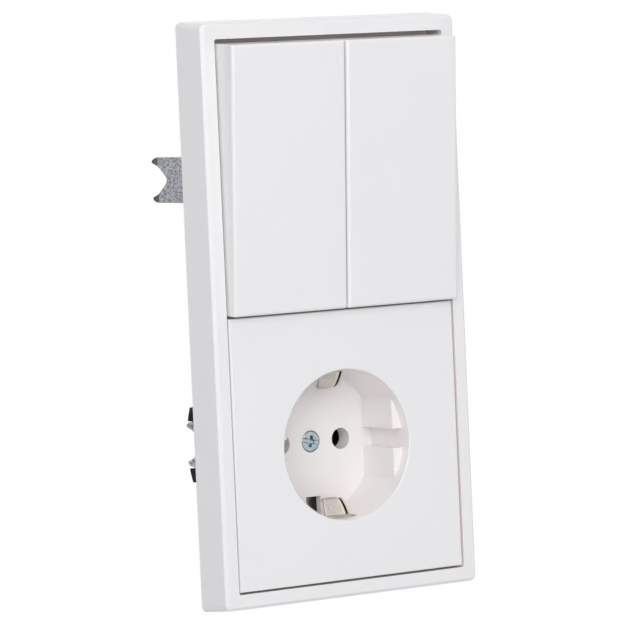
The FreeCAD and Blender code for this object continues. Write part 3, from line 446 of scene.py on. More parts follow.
def surface_mesh(name: str, points: np.ndarray, material: bpy.types.Material) -> bpy.types.Object:
    """Makes a surface from a grid of points whose last column joins the first.

    Each grid cell (i, j) becomes the quad (i, j), (i, j + 1), (i + 1, j + 1),
    (i + 1, j). Rows whose points all fall on one place, the poles, are merged to
    one vertex, and the surface is shaded smooth except at sharp edges.

    Args:
        name: The object's name.
        points: Array of rows x columns x 3, in millimetres.
        material: The surface's material.

    Returns:
        The new object.
    """
    rows, columns = points.shape[:2]
    row, column = np.meshgrid(np.arange(rows - 1), np.arange(columns), indexing="ij")
    here, beside = row * columns + column, row * columns + (column + 1) % columns
    faces = np.stack([here, beside, beside + columns, here + columns], axis=-1)
    mesh = bpy.data.meshes.new(name)
    mesh.from_pydata((points.reshape(-1, 3) * MM).tolist(), [], faces.reshape(-1, 4).tolist())
    made = bpy.data.objects.new(name, mesh)
    bpy.context.collection.objects.link(made)
    mesh.materials.append(material)
    work = bmesh.new()
    work.from_mesh(mesh)
    bmesh.ops.remove_doubles(work, verts=work.verts, dist=WELD_DISTANCE)
    bmesh.ops.dissolve_degenerate(work, edges=work.edges, dist=COLLAPSED_EDGE)
    bmesh.ops.recalc_face_normals(work, faces=work.faces)
    work.to_mesh(mesh)
    work.free()
    mesh.shade_smooth()
    mesh.set_sharp_from_angle(angle=math.radians(SHARP_ANGLE))
    return made


def place_for(made: bpy.types.Object, finish: Any, body: str, *nodes: str) -> None:
    """Lets a new piece ride on a body and stand for CAD nodes.

    Args:
        made: The piece.
        finish: Its finish; not used.
        body: The body that it moves with.
        nodes: The nodes that it stands for.
    """
    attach(made, body)
    if nodes:
        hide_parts(*nodes)
    LOG.info("built %s", made.name)


@dataclass(frozen=True)
class EasedCopy:
    """Copies a CAD mesh with smooth rounds, as moulded and pressed parts have them.

    With a width, each sharp edge also gets a small round of that width in
    millimetres. A cut drops everything in front of a plane or behind it.
    """

    width: float = 0.0
    segments: int = 4
    sharp: float = 28.0
    smooth: float = 50.0
    face_weight: int = 80

    def _merged(self, node: str) -> bmesh.types.BMesh:
        """The node's triangles with doubles merged and flat ones joined.

        Args:
            node: The CAD node.

        Returns:
            The mesh to work on.
        """
        work = bmesh.new()
        work.from_mesh(frame["nodes"][node].data)
        bmesh.ops.remove_doubles(work, verts=work.verts, dist=CAD_WELD_DISTANCE)
        if self.width:
            flat = math.radians(CAD_FLAT_ANGLE)
            bmesh.ops.dissolve_limit(work, angle_limit=flat, verts=work.verts, edges=work.edges)
        return work

    def _finish(self, made: bpy.types.Object) -> None:
        """Adds the rounds and lets large faces set the shading.

        Args:
            made: The copy.
        """
        if made.data.has_custom_normals:
            made.data.attributes.remove(made.data.attributes["custom_normal"])
        made.data.shade_smooth()
        if self.width:
            bevel = made.modifiers.new("rounds", "BEVEL")
            bevel.width = self.width * MM
            bevel.segments = self.segments
            bevel.limit_method = "ANGLE"
            bevel.angle_limit = math.radians(self.sharp)
            bevel.use_clamp_overlap = True
        else:
            made.data.set_sharp_from_angle(angle=math.radians(self.smooth))
        shading = made.modifiers.new("shading", "WEIGHTED_NORMAL")
        shading.mode = "FACE_AREA"
        shading.weight = self.face_weight
        shading.keep_sharp = True

    def copy(self, node: str, palette: Palette, finish: Any, cut: Optional[float] = None) -> bpy.types.Object:
        """Makes the copy and lets it stand for its node.

        Args:
            node: The CAD node.
            palette: Source of materials.
            finish: The copy's finish.
            cut: Y in millimetres; a negative one drops all in front of it, a positive
                one all behind it.

        Returns:
            The copy.
        """
        work = self._merged(node)
        if cut is not None:
            parts = list(work.verts) + list(work.edges) + list(work.faces)
            away = (0.0, math.copysign(1.0, cut), 0.0)
            plane = (0.0, cut * MM, 0.0)
            halved = bmesh.ops.bisect_plane(work, geom=parts, plane_co=plane, plane_no=away, clear_outer=True)
            rim = [e for e in halved["geom_cut"] if isinstance(e, bmesh.types.BMEdge)]
            bmesh.ops.holes_fill(work, edges=rim, sides=0)
        mesh = bpy.data.meshes.new(node + "_copy")
        work.to_mesh(mesh)
        work.free()
        mesh.materials.append(palette[finish])
        made = bpy.data.objects.new(node + "_eased", mesh)
        bpy.context.collection.objects.link(made)
        self._finish(made)
        place_for(made, finish, BODY_OF[node], node)
        return made


def second_finish(made: bpy.types.Object, palette: Palette, finish: Any, rule: Callable) -> None:
    """Gives part of a piece another finish, face by face.

    Args:
        made: The piece.
        palette: Source of materials.
        finish: The other finish.
        rule: Takes the faces' middles, faces x 3 in millimetres, and says which change.
    """
    made.data.materials.append(palette[finish])
    middles = np.empty(len(made.data.polygons) * 3)
    made.data.polygons.foreach_get("center", middles)
    chosen = rule(middles.reshape(-1, 3) / MM)
    made.data.polygons.foreach_set("material_index", chosen.astype(np.int32))


def eased_path(points: Sequence[tuple[float, float]], rounds: int = 4) -> np.ndarray:
    """Smooth line near a few corner points.

    Each round cuts the corners: every run keeps its points at a quarter and at
    three quarters of its length, and the two ends stay.

    Args:
        points: The corners.
        rounds: How often the corners are cut.

    Returns:
        Array of points x 2.
    """
    line = np.array(points, dtype=float)
    for _ in range(rounds):
        near = 0.75 * line[:-1] + 0.25 * line[1:]
        far = 0.25 * line[:-1] + 0.75 * line[1:]
        inner = np.stack([near, far], axis=1).reshape(-1, 2)
        line = np.concatenate([line[:1], inner, line[-1:]])
    return line


def side_normals(line: np.ndarray) -> np.ndarray:
    """Unit normals of a plane line: its direction turned by a quarter turn.

    Args:
        line: Array of points x 2.

    Returns:
        Array of points x 2.
    """
    heading = np.gradient(line, axis=0)
    heading /= np.linalg.norm(heading, axis=1, keepdims=True)
    return np.stack([-heading[:, 1], heading[:, 0]], axis=1)


@dataclass(frozen=True)
class SheetShell:
    """Closed skin of a thin sheet of metal, with eased edges."""

    thickness: float
    ease: float
    eased_start: bool = True
    most_inset: float = 0.9

    def loops(self, middle: np.ndarray, normal: np.ndarray) -> np.ndarray:
        """Turns a middle surface into loops that go round the sheet.

        Each row of the middle surface gives one loop: the row moved up by half
        the thickness, then the same row moved down and read backwards, with two
        extra points on either edge. The last row, and an eased first one, is thinner
        by the ease, and beyond them the loop closes to the middle line.

        Args:
            middle: Array of rows x columns x 3.
            normal: The sheet's normal, of the same shape or one that spreads to it.

        Returns:
            Array of loops x points x 3.
        """
        half = np.full(middle.shape[0], self.thickness / 2)
        half[-1] -= self.ease
        half[0] -= self.ease * self.eased_start
        rise = normal * half[:, None, None] * np.ones_like(middle)
        near = rise * (1 - self.ease / half[:, None, None])
        inset = np.array(middle)
        for edge, inner in ((0, 1), (-1, -2)):
            inward = middle[:, inner] - middle[:, edge]
            length = np.linalg.norm(inward, axis=1, keepdims=True)
            share = self.ease / np.maximum(length, 1e-9)
            inset[:, edge] += inward * np.minimum(share, self.most_inset)
        upper, lower = inset + rise, (inset - rise)[:, ::-1]
        right = np.stack([middle[:, -1] + near[:, -1], middle[:, -1] - near[:, -1]], axis=1)
        left = np.stack([middle[:, 0] - near[:, 0], middle[:, 0] + near[:, 0]], axis=1)
        rings = np.concatenate([upper, right, lower, left], axis=1)
        first, last = middle[:, :1], middle[:, -1:]
        flat = np.concatenate([inset, last, last, inset[:, ::-1], first, first], axis=1)
        return np.concatenate([flat[:1], rings, flat[-1:]], axis=0)


@dataclass(frozen=True)
class SoftBox:
    """A square lamp that is aimed at the origin. Sizes are in metres, power in watts."""

    name: str
    place: Point
    size: float
    power: float

    def build(self, colour: Colour) -> None:
        """Makes the lamp.

        Args:
            colour: The light's colour.
        """
        data = bpy.data.lights.new(self.name, "AREA")
        data.size = self.size
        data.energy = self.power
        data.color = colour
        lamp = bpy.data.objects.new(self.name, data)
        bpy.context.collection.objects.link(lamp)
        turn = (-Vector(self.place)).to_track_quat("-Z", "Y").to_matrix().to_4x4()
        lamp.matrix_world = Matrix.Translation(self.place) @ turn


@dataclass
class Studio:
    """Camera at the photograph's angle, soft light, and a pale floor below.

    Angles are in degrees, the camera's distance, shifts and lens in millimetres, and
    the floor's sizes in metres.
    """

    yaw: float = 34.05
    pitch: float = -3.46
    roll: float = -2.55
    distance: float = 1150.8
    shift_right: float = -1.62
    shift_up: float = -1.25
    lens: float = 253.11
    sensor: float = 36.0
    lamps: tuple[SoftBox, ...] = (
        SoftBox("key", (-0.65, -1.10, 0.43), 1.2, 11.4),
        SoftBox("overhead", (0.15, -0.25, 1.3), 0.9, 3.4),
    )
    lamp_colour: Colour = (0.935, 0.965, 1.0)
    fill: float = 0.37
    fill_colour: Colour = (0.945, 0.972, 1.0)
    floor_height: float = -0.26
    floor_radius: float = 1.1
    floor_rings: int = 12
    floor_sides: int = 96
    floor_tones: tuple[Colour, Colour] = ((0.86, 0.86, 0.86), (0.89, 0.89, 0.89))
    floor_grain: float = 30.0
    shadow_radius: float = 0.3
    shadow_whiteness: float = 0.35
    white_share: float = 0.8

    def build(self) -> None:
        """Makes the camera, the world, the floor and the lamps."""
        self._camera()
        self._world()
        self._floor()
        for lamp in self.lamps:
            lamp.build(self.lamp_colour)
        bpy.context.scene.view_settings.view_transform = "Standard"

    def _camera(self) -> None:
        """Places the camera from its yaw, pitch, roll and distance."""
        yaw, pitch, roll = (math.radians(a) for a in (self.yaw, self.pitch, self.roll))
        level = Vector((math.sin(yaw), math.cos(yaw), 0.0))
        ahead = level * math.cos(pitch) + Vector((0.0, 0.0, math.sin(pitch)))
        right = Vector((math.cos(yaw), -math.sin(yaw), 0.0))
        up = right.cross(ahead)
        turned_right = math.cos(roll) * right + math.sin(roll) * up
        turned_up = math.cos(roll) * up - math.sin(roll) * right
        place = -ahead * self.distance + turned_right * self.shift_right + turned_up * self.shift_up
        data = bpy.data.cameras.new("photo_camera")
        data.sensor_width = self.sensor
        data.lens = self.lens
        camera = bpy.data.objects.new("photo_camera", data)
        bpy.context.collection.objects.link(camera)
        turn = Matrix((turned_right, turned_up, -ahead)).transposed().to_4x4()
        camera.matrix_world = Matrix.Translation(place * MM) @ turn
        bpy.context.scene.camera = camera

    @staticmethod
    def _seen(graph: Graph) -> Signal:
        """1 for rays from the camera, from gloss and through glass, else 0.

        Args:
            graph: The graph that needs the mask.

        Returns:
            The mask.
        """
        names = ("Is Camera Ray", "Is Glossy Ray", "Is Transmission Ray")
        camera, gloss, glass = (graph.add("ShaderNodeLightPath", {}, {}, name) for name in names)
        return camera.larger(gloss).larger(glass)

    def _world(self) -> None:
        """White where it is seen, softer where it lights the object."""
        world = bpy.data.worlds.new("studio")
        world.use_nodes = True
        bpy.context.scene.world = world
        graph = Graph(world.node_tree)
        soft = graph.add("ShaderNodeBackground", {}, {"Color": self.fill_colour, "Strength": self.fill})
        white = graph.add("ShaderNodeBackground", {}, {"Color": (1.0, 1.0, 1.0), "Strength": 1.0})
        both = graph.add("ShaderNodeMixShader", {}, {0: self._seen(graph), 1: soft, 2: white})
        graph.add("ShaderNodeOutputWorld", {}, {"Surface": both})

    def _floor(self) -> None:
        """A pale disc that keeps the shadow near its middle and fades to white outwards."""
        ring = np.linspace(0.0, 2 * math.pi, self.floor_sides, endpoint=False)[None, :]
        radii = np.linspace(0.0, self.floor_radius, self.floor_rings)[:, None]
        height = np.full((self.floor_rings, self.floor_sides), self.floor_height)
        points = np.stack([radii * np.cos(ring), radii * np.sin(ring), height], axis=-1) / MM
        material, graph = new_material("pale_floor")
        where = graph.place()
        distance = graph.add("ShaderNodeVectorMath", {"operation": "LENGTH"}, {0: where}, "Value")
        tone = graph.mix(graph.noise(where, self.floor_grain, 3.0), *self.floor_tones)
        matt = graph.add("ShaderNodeBsdfDiffuse", {}, {"Color": tone})
        white = graph.add("ShaderNodeEmission", {}, {"Color": (1.0, 1.0, 1.0), "Strength": 1.0})
        edge = self.floor_radius * self.white_share
        fade = distance.fit(self.shadow_radius, edge, self.shadow_whiteness, 1.0) * self._seen(graph)
        both = graph.add("ShaderNodeMixShader", {}, {0: fade, 1: matt, 2: white})
        graph.add("ShaderNodeOutputMaterial", {}, {"Surface": both})
        floor = surface_mesh("floor", points, material)


@dataclass
class SlottedScrew:
    """A screw turned on a lathe: slotted head, neck and a threaded shank.

    Sizes are in millimetres. The axis runs along Y from the head's face. A cross
    holds the half width and half length of its arms, and its depth.
    """

    name: str
    body: str
    node: str
    finish: Any
    x: float
    z: float
    face: float
    head_radius: float
    head_depth: float
    root_radius: float
    crest_radius: float
    end: float
    pitch: float = 0.5
    slot_half: float = 0.4
    slot_depth: float = 0.8
    slot_wall: float = 0.06
    cross: Optional[Point] = None
    edge: float = 0.25
    turn: float = 0.0
    neck: float = 0.6
    tip: float = 0.5
    tip_thread: float = 0.15
    tip_share: float = 0.6
    sides: int = 96
    face_rings: int = 44
    rim_rings: int = 6
    rows_per_turn: int = 8

    def _face_depth(self, across: np.ndarray, along: np.ndarray) -> np.ndarray:
        """Depth of the recess cut in the head's face.

        A slot is a band about the X axis with steep walls; the cross is the union
        of two short bands.

        Args:
            across: X of each point about the axis.
            along: Z of each point about the axis.

        Returns:
            Depth below the face.
        """
        def band(distance: np.ndarray, half: float) -> np.ndarray:
            """1 up to half from the middle and 0 beyond, with a straight slope between."""
            return np.clip((half + self.slot_wall / 2 - np.abs(distance)) / self.slot_wall, 0.0, 1.0)

        depth = self.slot_depth * band(along, self.slot_half)
        if self.cross:
            half_width, half_length, cross_depth = self.cross
            first = band(across, half_width) * band(along, half_length)
            second = band(along, half_width) * band(across, half_length)
            depth = np.maximum(depth, cross_depth * np.maximum(first, second))
        return depth

    def build(self, palette: Palette) -> None:
        """Makes the screw: rows run from the middle of the face to the shank's tip.

        The thread's radius follows a triangle wave of the height less the turn.

        Args:
            palette: Source of materials.
        """
        turns = np.linspace(0.0, 2 * math.pi, self.sides, endpoint=False)
        flat = self.head_radius - self.edge
        rim = np.linspace(0.0, math.pi / 2, self.rim_rings + 1)[1:]
        radius = np.concatenate([np.linspace(0.0, flat, self.face_rings), flat + self.edge * np.sin(rim)])
        depth = np.concatenate([np.zeros(self.face_rings), self.edge * (1 - np.cos(rim))])
        rows = radius[:, None] * np.ones_like(turns)
        lowered = np.maximum(depth[:, None], self._face_depth(rows * np.cos(turns), rows * np.sin(turns)))
        head_end = self.face + self.head_depth
        start, stop = head_end + self.neck, self.end - self.tip
        y = np.linspace(start, stop, int((self.end - start) / self.pitch * self.rows_per_turn))
        phase = (y[:, None] / self.pitch - turns / (2 * math.pi)) % 1.0
        wave = 1.0 - np.abs(2 * phase - 1.0)
        taper = np.clip(stop - y, self.tip_thread, 1.0)[:, None]
        thread = self.root_radius + (self.crest_radius - self.root_radius) * wave * taper
        ring = np.ones((1, self.sides))
        bands = [
            (rows, self.face + lowered),
            (self.head_radius * ring, head_end * ring),
            (self.root_radius * ring, head_end * ring),
            (thread, y[:, None] * ring),
            (self.root_radius * self.tip_share * ring, self.end * ring),
            (0.0 * ring, self.end * ring),
        ]
        radius = np.concatenate([band[0] for band in bands])
        height = np.concatenate([band[1] for band in bands])
        angle = turns + math.radians(self.turn)
        across, along = self.x + radius * np.cos(angle), self.z + radius * np.sin(angle)
        made = surface_mesh(self.name, np.stack([across, height, along], axis=-1), palette[self.finish])
        place_for(made, self.finish, self.body, self.node)


@dataclass
class CoverFrame:
    """The white two-gang frame. Inside its opening the white is warmer: painted warm shade of light bounced
    in the gaps.
    """

    inner_x: float = 36.0
    inner_z: float = 71.5
    inner_front: float = -9.8
    inner_back: float = -0.5
    rounds: EasedCopy = EasedCopy(0.35)

    def build(self, palette: Palette) -> None:
        """Dresses the frame in gloss white.

        Args:
            palette: Source of materials.
        """
        def inside(centre: np.ndarray) -> np.ndarray:
            """True for faces inside the opening."""
            x, y, z = centre.T
            near = (np.abs(x) < self.inner_x) & (np.abs(z) < self.inner_z)
            return near & (y > self.inner_front) & (y < self.inner_back)

        made = self.rounds.copy("cover_frame", palette, WHITE_GLOSS)
        # Painted shade: faces inside the opening get the warmer white.
        second_finish(made, palette, WHITE_APERTURE_PAINTED_SHADE, inside)


@dataclass
class DoubleSwitch:
    """Rockers, carriers, cap, base, ring and the contacts inside."""

    rounds: EasedCopy = EasedCopy(0.4)

    def build(self, palette: Palette) -> None:
        """Dresses the switch.

        Args:
            palette: Source of materials.
        """
        for side in Side:
            self.rounds.copy(f"rocker_{side.word}", palette, WHITE_GLOSS)
            # Painted shade: carriers and plungers get the darker, warmer white of the gaps.
            palette.dress(WHITE_INNER_PAINTED_SHADE, f"carrier_{side.word}", f"plunger_{side.word}")
            palette.dress(BRASS, f"contact_lever_{side.word}")
            palette.dress(RELEASE_GREY, f"switch_release_{side.word}")
        # Painted shade: cap and holder get the darker, warmer white of the gaps.
        palette.dress(WHITE_INNER_PAINTED_SHADE, "switch_cap", "frame_holder")
        palette.dress(GREY_BASE, "switch_base")
        palette.dress(GALVANISED, "switch_ring")
        palette.dress(ZINC, "switch_rivets")
        palette.dress(BRASS, "fixed_contacts")


@dataclass
class EarthClips:
    """Two sprung contact clips of plated sheet, folded over the edge of the recess.

    The line runs in the plane of depth and distance from the recess axis: up the
    outside of the wall, over its edge and down to the nose. A curved slit parts a
    narrow wing from the tongue, and behind the slit lies a near-black sheet that is
    painted shade. Left edge, slit and wing have an X at the root, a swing to the nose
    and the power of its run.
    """

    axis_z: float = -35.5
    leg: tuple[tuple[float, float], ...] = (
        (-3.4, 22.1), (-5.0, 22.1), (-6.35, 21.6), (-6.45, 20.2), (-5.2, 19.3), (-4.35, 19.0),
    )
    tongue: tuple[tuple[float, float], ...] = (
        (-4.35, 19.0), (-3.6, 17.0), (-2.55, 14.75), (-1.3, 14.45), (-0.6, 15.3),
    )
    cut_y: float = -4.4
    nose_inner: float = 13.5
    nose_outer: float = 20.5
    nose_back: float = 3.0
    left: Point = (-3.65, 1.3, 3.0)
    slit: Point = (2.7, -2.0, 2.3)
    wing: Point = (4.05, -1.6, 2.3)
    slit_width: float = 0.78
    wing_drop: float = 0.25
    wing_share: float = 0.6
    swing_share: float = 0.72
    drop_rate: float = 8.0
    leaf_lap: float = 1.0
    leaf_inset: float = 0.3
    leaf_drop: float = 1.2
    cut_width: float = 0.15
    worn_width: float = 0.75
    dimple: tuple[float, float, float, float] = (-1.9, 17.0, 0.6, 0.2)
    columns: int = 31
    sheet: SheetShell = SheetShell(0.7, 0.12)

    def _line(self) -> tuple[np.ndarray, np.ndarray]:
        """The clip's line, and how far along the tongue each point is.

        Returns:
            Points x 2, and a share that is 0 up to the root and 1 at the tip.
        """
        first, last = eased_path(self.leg), eased_path(self.tongue)
        line = np.concatenate([first, last[1:]])
        share = np.concatenate([np.zeros(len(first)), np.linspace(0.0, 1.0, len(last))[1:]])
        return line, share

    def _strip(
        self, name: str, end: int, palette: Palette, left: np.ndarray, right: np.ndarray, rows: slice,
        finish: Any, drop: float, worn: float,
    ) -> None:
        """Makes one strip of the clip between two side lines.

        The middle surface spreads evenly from the left to the right line across X,
        and follows the clip's line in the other two directions. A small round dimple
        sinks into it as a bell curve.

        Args:
            name: The piece's name.
            end: 1 for the upper clip, -1 for the lower one.
            palette: Source of materials.
            left: X of the left side at each point of the line.
            right: X of the right side at each point of the line.
            rows: The part of the line that the strip covers.
            finish: The strip's finish.
            drop: How far the strip lies behind the line, in millimetres.
            worn: Width beside the right edge that shows the brass below the plating, whose pale tone also
                paints an edge highlight.
        """
        line, share = self._line()
        across = side_normals(line)
        line = line + across * (drop * np.clip(share * self.drop_rate, 0, 1))[:, None]
        at_x, at_out, radius, depth = self.dimple
        spread = np.linspace(0.0, 1.0, self.columns)[None, :]
        x = left[:, None] * (1 - spread) + right[:, None] * spread
        ones = np.ones_like(x)
        middle = np.stack([x, line[:, :1] * ones, self.axis_z + end * line[:, 1:] * ones], axis=-1)
        normal = np.stack([0 * ones, across[:, :1] * ones, end * across[:, 1:] * ones], axis=-1)
        reach = np.hypot(x - at_x, line[:, 1:] - at_out) / radius
        middle = middle + normal * (depth * np.exp(-reach ** 2) * (share[:, None] > 0))[..., None]
        made = surface_mesh(name, self.sheet.loops(middle[rows], normal[rows]), palette[finish])

        def beside_right_edge(centre: np.ndarray) -> np.ndarray:
            """True for faces by the right side line at the nearest point of the clip's line."""
            out = end * (centre[:, 2] - self.axis_z)
            gap = np.hypot(centre[:, 1:2] - line[:, 0], out[:, None] - line[:, 1])
            return centre[:, 0] > right[np.argmin(gap, axis=1)] - worn

        # Partly painted highlight: the band by the right edge is cut brass with a painted edge highlight.
        if worn:
            second_finish(made, palette, CUT_BRASS_AND_HIGHLIGHT, beside_right_edge)
        place_for(made, NICKEL, "housing", "earth_bracket")

    def _clear_noses(self, strip: bpy.types.Object) -> None:
        """Takes the solid noses off the bracket's copy, where the sheet ones go.

        Args:
            strip: The copy.
        """
        work = bmesh.new()
        work.from_mesh(strip.data)
        outs = [(vertex, abs(vertex.co.z / MM - self.axis_z)) for vertex in work.verts]
        near = [v for v, out in outs if self.nose_inner < out < self.nose_outer]
        noses = [v for v in near if v.co.y / MM < self.nose_back]
        bmesh.ops.delete(work, geom=noses, context="VERTS")
        work.to_mesh(strip.data)
        work.free()

    def build(self, palette: Palette) -> None:
        """Makes the strip behind the cover and both clips.

        Args:
            palette: Source of materials.
        """
        self._clear_noses(EasedCopy().copy("earth_bracket", palette, NICKEL, self.cut_y))
        line, share = self._line()
        root = int(np.sum(share == 0))
        near_nose = np.clip(share / self.swing_share, 0, 1)
        sides = (self.left, self.slit, self.wing)
        left, slit, wing = (x + swing * near_nose ** power for x, swing, power in sides)
        wing_left, shade_sheet_left = slit + self.slit_width, slit - self.leaf_lap
        shade_sheet_right = wing - self.leaf_inset
        whole = np.full(len(line), self.wing[0])
        short = slice(root - 1, root + int(self.wing_share * (len(line) - root)))
        strips = (
            ("leg", left, whole, slice(0, root + 2), NICKEL, 0.0, self.cut_width),
            ("tongue", left, slit, slice(root - 1, None), NICKEL, 0.0, self.worn_width),
            ("wing", wing_left, wing, short, NICKEL, self.wing_drop, self.cut_width),
            # Painted shade: the near-black sheet behind the slit.
            ("leaf", shade_sheet_left, shade_sheet_right, short, SHADE_SHEET, self.leaf_drop, 0.0),
        )
        for end, word in ((1, "top"), (-1, "bottom")):
            for part, *shape in strips:
                self._strip(f"clip_{part}_{word}", end, palette, *shape)


@dataclass
class PlugSocket:
    """Cover with its recess, base, earth bracket, pin contacts and claw guides."""

    axis_z: float = -35.5
    recess_radius: float = 20.3
    recess_front: float = -10.7
    claw_z: float = -34.75
    guide_start: float = 6.25
    guide_end: float = 9.85
    guide_root_x: float = 25.9
    guide_edge_x: float = 27.9
    guide_front: float = 20.6
    guide_back: float = 22.55
    guide_fall: float = 1.1
    guide_power: float = 1.6
    guide_lean: float = 0.25
    guide_bevel: float = 0.5
    guide_crown: float = 0.05
    guide_root_fall: float = 0.4
    guide_rows: int = 12

    def _guide_corner(self, side: Side, end: int, palette: Palette) -> None:
        """Fills the end of one claw guide, which slopes away from its claw.

        Loops of five points run along Z: root and edge in front, and behind them the
        outer corner, the end of its bevel and the root. The corner drops towards the
        far side by a power of the run, and both ends close to their middle.

        Args:
            side: Left or right guide.
            end: 1 for the part above the claw, -1 for the one below.
            palette: Source of materials.
        """
        run = np.linspace(0.0, 1.0, self.guide_rows)
        fall = self.guide_fall * run ** self.guide_power
        sizes = (self.guide_edge_x, self.guide_root_x, self.guide_front)
        edge, root, front = (np.full(self.guide_rows, size) for size in sizes)
        corner = np.stack([edge - self.guide_lean * run, self.guide_back - fall], axis=-1)
        root_back = self.guide_back + self.guide_crown - self.guide_root_fall * fall
        ring = np.stack([
            np.stack([edge, front], axis=-1),
            corner,
            corner + [-self.guide_bevel, self.guide_crown],
            np.stack([root, root_back], axis=-1),
            np.stack([root, front], axis=-1),
        ], axis=1)
        centre = ring.mean(axis=1, keepdims=True)
        ring[[0, -1]] = centre[[0, -1]]
        span = np.concatenate([run[:1], np.linspace(0.0, 1.0, self.guide_rows - 2), run[-1:]])
        z = self.claw_z + end * (self.guide_start + (self.guide_end - self.guide_start) * span)
        height = np.broadcast_to(z[:, None, None], (*ring.shape[:2], 1))
        points = np.concatenate([ring * [side.value, 1.0], height], axis=-1)
        word = "upper" if end > 0 else "lower"
        made = surface_mesh(f"guide_corner_{side.word}_{word}", points, palette[BLACK_BASE])
        place_for(made, BLACK_BASE, "housing")

    def build(self, palette: Palette) -> None:
        """Dresses the socket and builds its clips, centre screw and guide corners.

        Args:
            palette: Source of materials.
        """
        def in_recess(centre: np.ndarray) -> np.ndarray:
            """True for faces inside the plug recess."""
            x, y, z = centre.T
            return (np.hypot(x, z - self.axis_z) < self.recess_radius) & (y > self.recess_front)

        cover = EasedCopy().copy("socket_cover", palette, WHITE_GLOSS)
        # Painted light: faces inside the recess get the warmer white of bounced light.
        second_finish(cover, palette, WHITE_RECESS_PAINTED_LIGHT, in_recess)
        EasedCopy().copy("socket_base", palette, BLACK_BASE)
        palette.dress(GALVANISED, "socket_ring")
        palette.dress(ZINC, "socket_rivets")
        for side in Side:
            # Painted shade: darkened brass standing for the shade deep in the pin holes.
            palette.dress(SLEEVE_PAINTED_SHADE, f"contact_sleeve_{side.word}")
            palette.dress(RELEASE_GREY, f"socket_release_{side.word}")
            for end in (1, -1):
                self._guide_corner(side, end, palette)
        screw = SlottedScrew(
            "centre_screw_turned", "housing", "centre_screw", HEAD_ZINC, x=0.0, z=self.axis_z, face=6.5,
            head_radius=2.75, head_depth=2.0, root_radius=1.2, crest_radius=1.45, end=17.5, slot_half=0.55,
            slot_depth=0.5, cross=(0.42, 1.5, 1.3), edge=0.35, turn=-13.0,
        )
        screw.build(palette)
        EarthClips(self.axis_z).build(palette)


@dataclass
class ForkedClaw:
    """One spreading claw: the CAD's short leg and shank, and a fork with worn tips.

    The fork's edge falls from the tips to the middle by one branch of a hyperbola:
    straight flanks with a round bottom. Each tip is a small half round.
    """

    unit: str
    side: Side
    height: float
    reach: float
    rise: float
    worn: bool
    shank_x: float = 28.4
    fork_length: float = 9.5
    half_height: float = 6.0
    notch_depth: float = 5.9
    notch_round: float = 1.84
    notch_flank: float = 1.65
    tip_middle: float = 4.8
    tip_half: float = 1.22
    tip_length: float = 2.0
    tip_fullness: float = 0.97
    bend_out: float = 1.0
    bend_run: float = 1.8
    bend_power: float = 1.2
    bend_rate: float = 4.0
    rows: int = 34
    columns: int = 61
    sheet: SheetShell = SheetShell(1.2, 0.15, False)

    def _ends(self, across: np.ndarray) -> np.ndarray:
        """How far back the fork reaches at each point of its height.

        Args:
            across: Height about the claw's middle.

        Returns:
            Y in millimetres.
        """
        from_tip = np.clip((np.abs(across) - self.tip_middle) / self.tip_half, -1, 1)
        tip = self.tip_length * (1 - np.sqrt(1 - self.tip_fullness * from_tip ** 2))
        flank = np.hypot(self.notch_round, self.notch_flank * across) - self.notch_round
        notch = np.maximum(self.notch_depth - flank, tip)
        return self.reach - np.where(np.abs(across) < self.tip_middle, notch, tip)

    def build(self, palette: Palette) -> None:
        """Makes the shank from the CAD mesh and the fork as a sheet.

        Args:
            palette: Source of materials.
        """
        node = f"{self.unit}_claw_{self.side.word}"
        cut = self.reach - self.fork_length
        bend_start = self.reach - self.bend_run
        EasedCopy().copy(node, palette, GALVANISED, cut)
        across = np.linspace(-self.half_height, self.half_height, self.columns)
        share = np.linspace(0.0, 1.0, self.rows)[:, None]
        y = cut + (self._ends(across)[None, :] - cut) * share
        bend = np.clip((y - bend_start) / self.bend_run, 0, 1)
        x = self.shank_x + self.bend_out * bend ** self.bend_power
        z = self.height + across[None, :] + self.rise * share ** 2
        middle = np.stack([self.side.value * x, y, z], axis=-1)
        slope = self.bend_out / self.bend_run * np.clip(bend * self.bend_rate, 0, 1)
        length = np.sqrt(1 + slope ** 2)
        normal = np.stack([self.side.value / length, -slope / length, 0 * y], axis=-1)
        made = surface_mesh(node + "_fork", self.sheet.loops(middle, normal), palette[GALVANISED])
        if self.worn:
            second_finish(made, palette, WORN_TIP, lambda centre: centre[:, 1] > bend_start)
        place_for(made, GALVANISED, node, node)


@dataclass
class ClawSet:
    """Spreading claws and their screws on both devices."""

    places: tuple[tuple[str, float, float, float, bool], ...] = (
        ("switch", 35.0, 31.6, 0.0, True),
        ("socket", -34.75, 20.4, 0.4, False),
    )
    screw_x: float = 25.9

    def build(self, palette: Palette) -> None:
        """Builds the claws and the threaded screws.

        Args:
            palette: Source of materials.
        """
        for unit, height, reach, rise, worn in self.places:
            for side in Side:
                ForkedClaw(unit, side, height, reach, rise, worn).build(palette)
                node = f"{unit}_claw_screw_{side.word}"
                screw = SlottedScrew(
                    node + "_turned", node, node, ZINC, x=side.value * self.screw_x, z=height, face=-2.8,
                    head_radius=2.3, head_depth=1.6, root_radius=1.15, crest_radius=1.44, end=9.5,
                )
                screw.build(palette)


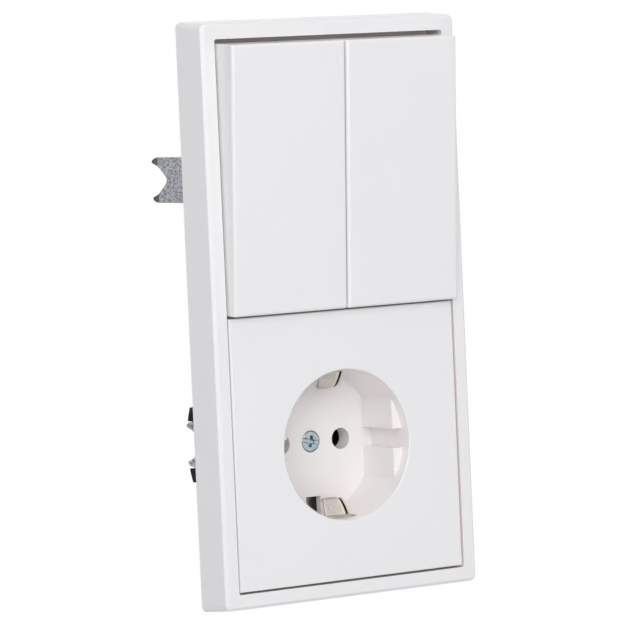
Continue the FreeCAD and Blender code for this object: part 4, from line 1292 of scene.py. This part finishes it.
@dataclass
class WireClamps:
    """Sprung steel leaves inside the wire holes on both backs.

    Each unit has its middle's height, its back plane, and X and Z of the holes on
    either side.
    """

    units: tuple[tuple[str, float, float, tuple[tuple[float, float], ...]], ...] = (
        ("switch", 35.5, 21.5, ((4.0, 17.0), (4.0, -17.0), (11.0, -17.0))),
        ("socket", -35.5, 31.0, ((15.5, 4.5), (15.5, -4.5), (3.2, -12.5))),
    )
    width: float = 1.9
    inset: float = 1.2
    length: float = 6.0
    low: float = 1.0
    climb: float = 1.2
    rows: int = 14
    columns: int = 7
    sheet: SheetShell = SheetShell(0.25, 0.04)

    def build(self, palette: Palette) -> None:
        """Makes one leaf for each hole, which leans across it.

        Its line goes inwards by a straight run, and its height rises with the square
        of the run from the lower wall to just past the middle.

        Args:
            palette: Source of materials.
        """
        share = np.linspace(0.0, 1.0, self.rows)
        spread = np.linspace(-0.5, 0.5, self.columns)[None, :]
        ones = np.ones((self.rows, self.columns))
        places = [
            (unit, side.value * x, back, middle_z + z)
            for side in Side for unit, middle_z, back, holes in self.units for x, z in holes
        ]
        for number, (unit, x, back, z) in enumerate(places):
            depth = back - self.inset - self.length * (1 - share)
            height = z - self.low + self.climb * share ** 2
            line = np.stack([depth, height], axis=1)
            across = side_normals(line)
            wide = x + self.width * spread * ones
            middle = np.stack([wide, line[:, :1] * ones, line[:, 1:] * ones], axis=-1)
            normal = np.stack([0 * ones, across[:, :1] * ones, across[:, 1:] * ones], axis=-1)
            name = f"wire_leaf_{unit}_{number}"
            made = surface_mesh(name, self.sheet.loops(middle, normal), palette[NICKEL])
            place_for(made, NICKEL, "housing")


def main() -> None:
    """Builds the scene in order."""
    logging.basicConfig(level=logging.INFO, format="%(message)s")
    for item in [o for o in bpy.data.objects if o.type in {"LIGHT", "CAMERA"}]:
        bpy.data.objects.remove(item)
    palette = Palette()
    for assembly in (CoverFrame(), DoubleSwitch(), PlugSocket(), ClawSet(), WireClamps()):
        assembly.build(palette)
        LOG.info("finished %s", type(assembly).__name__)
    Studio().build()


if __name__ == "__main__":
    main()
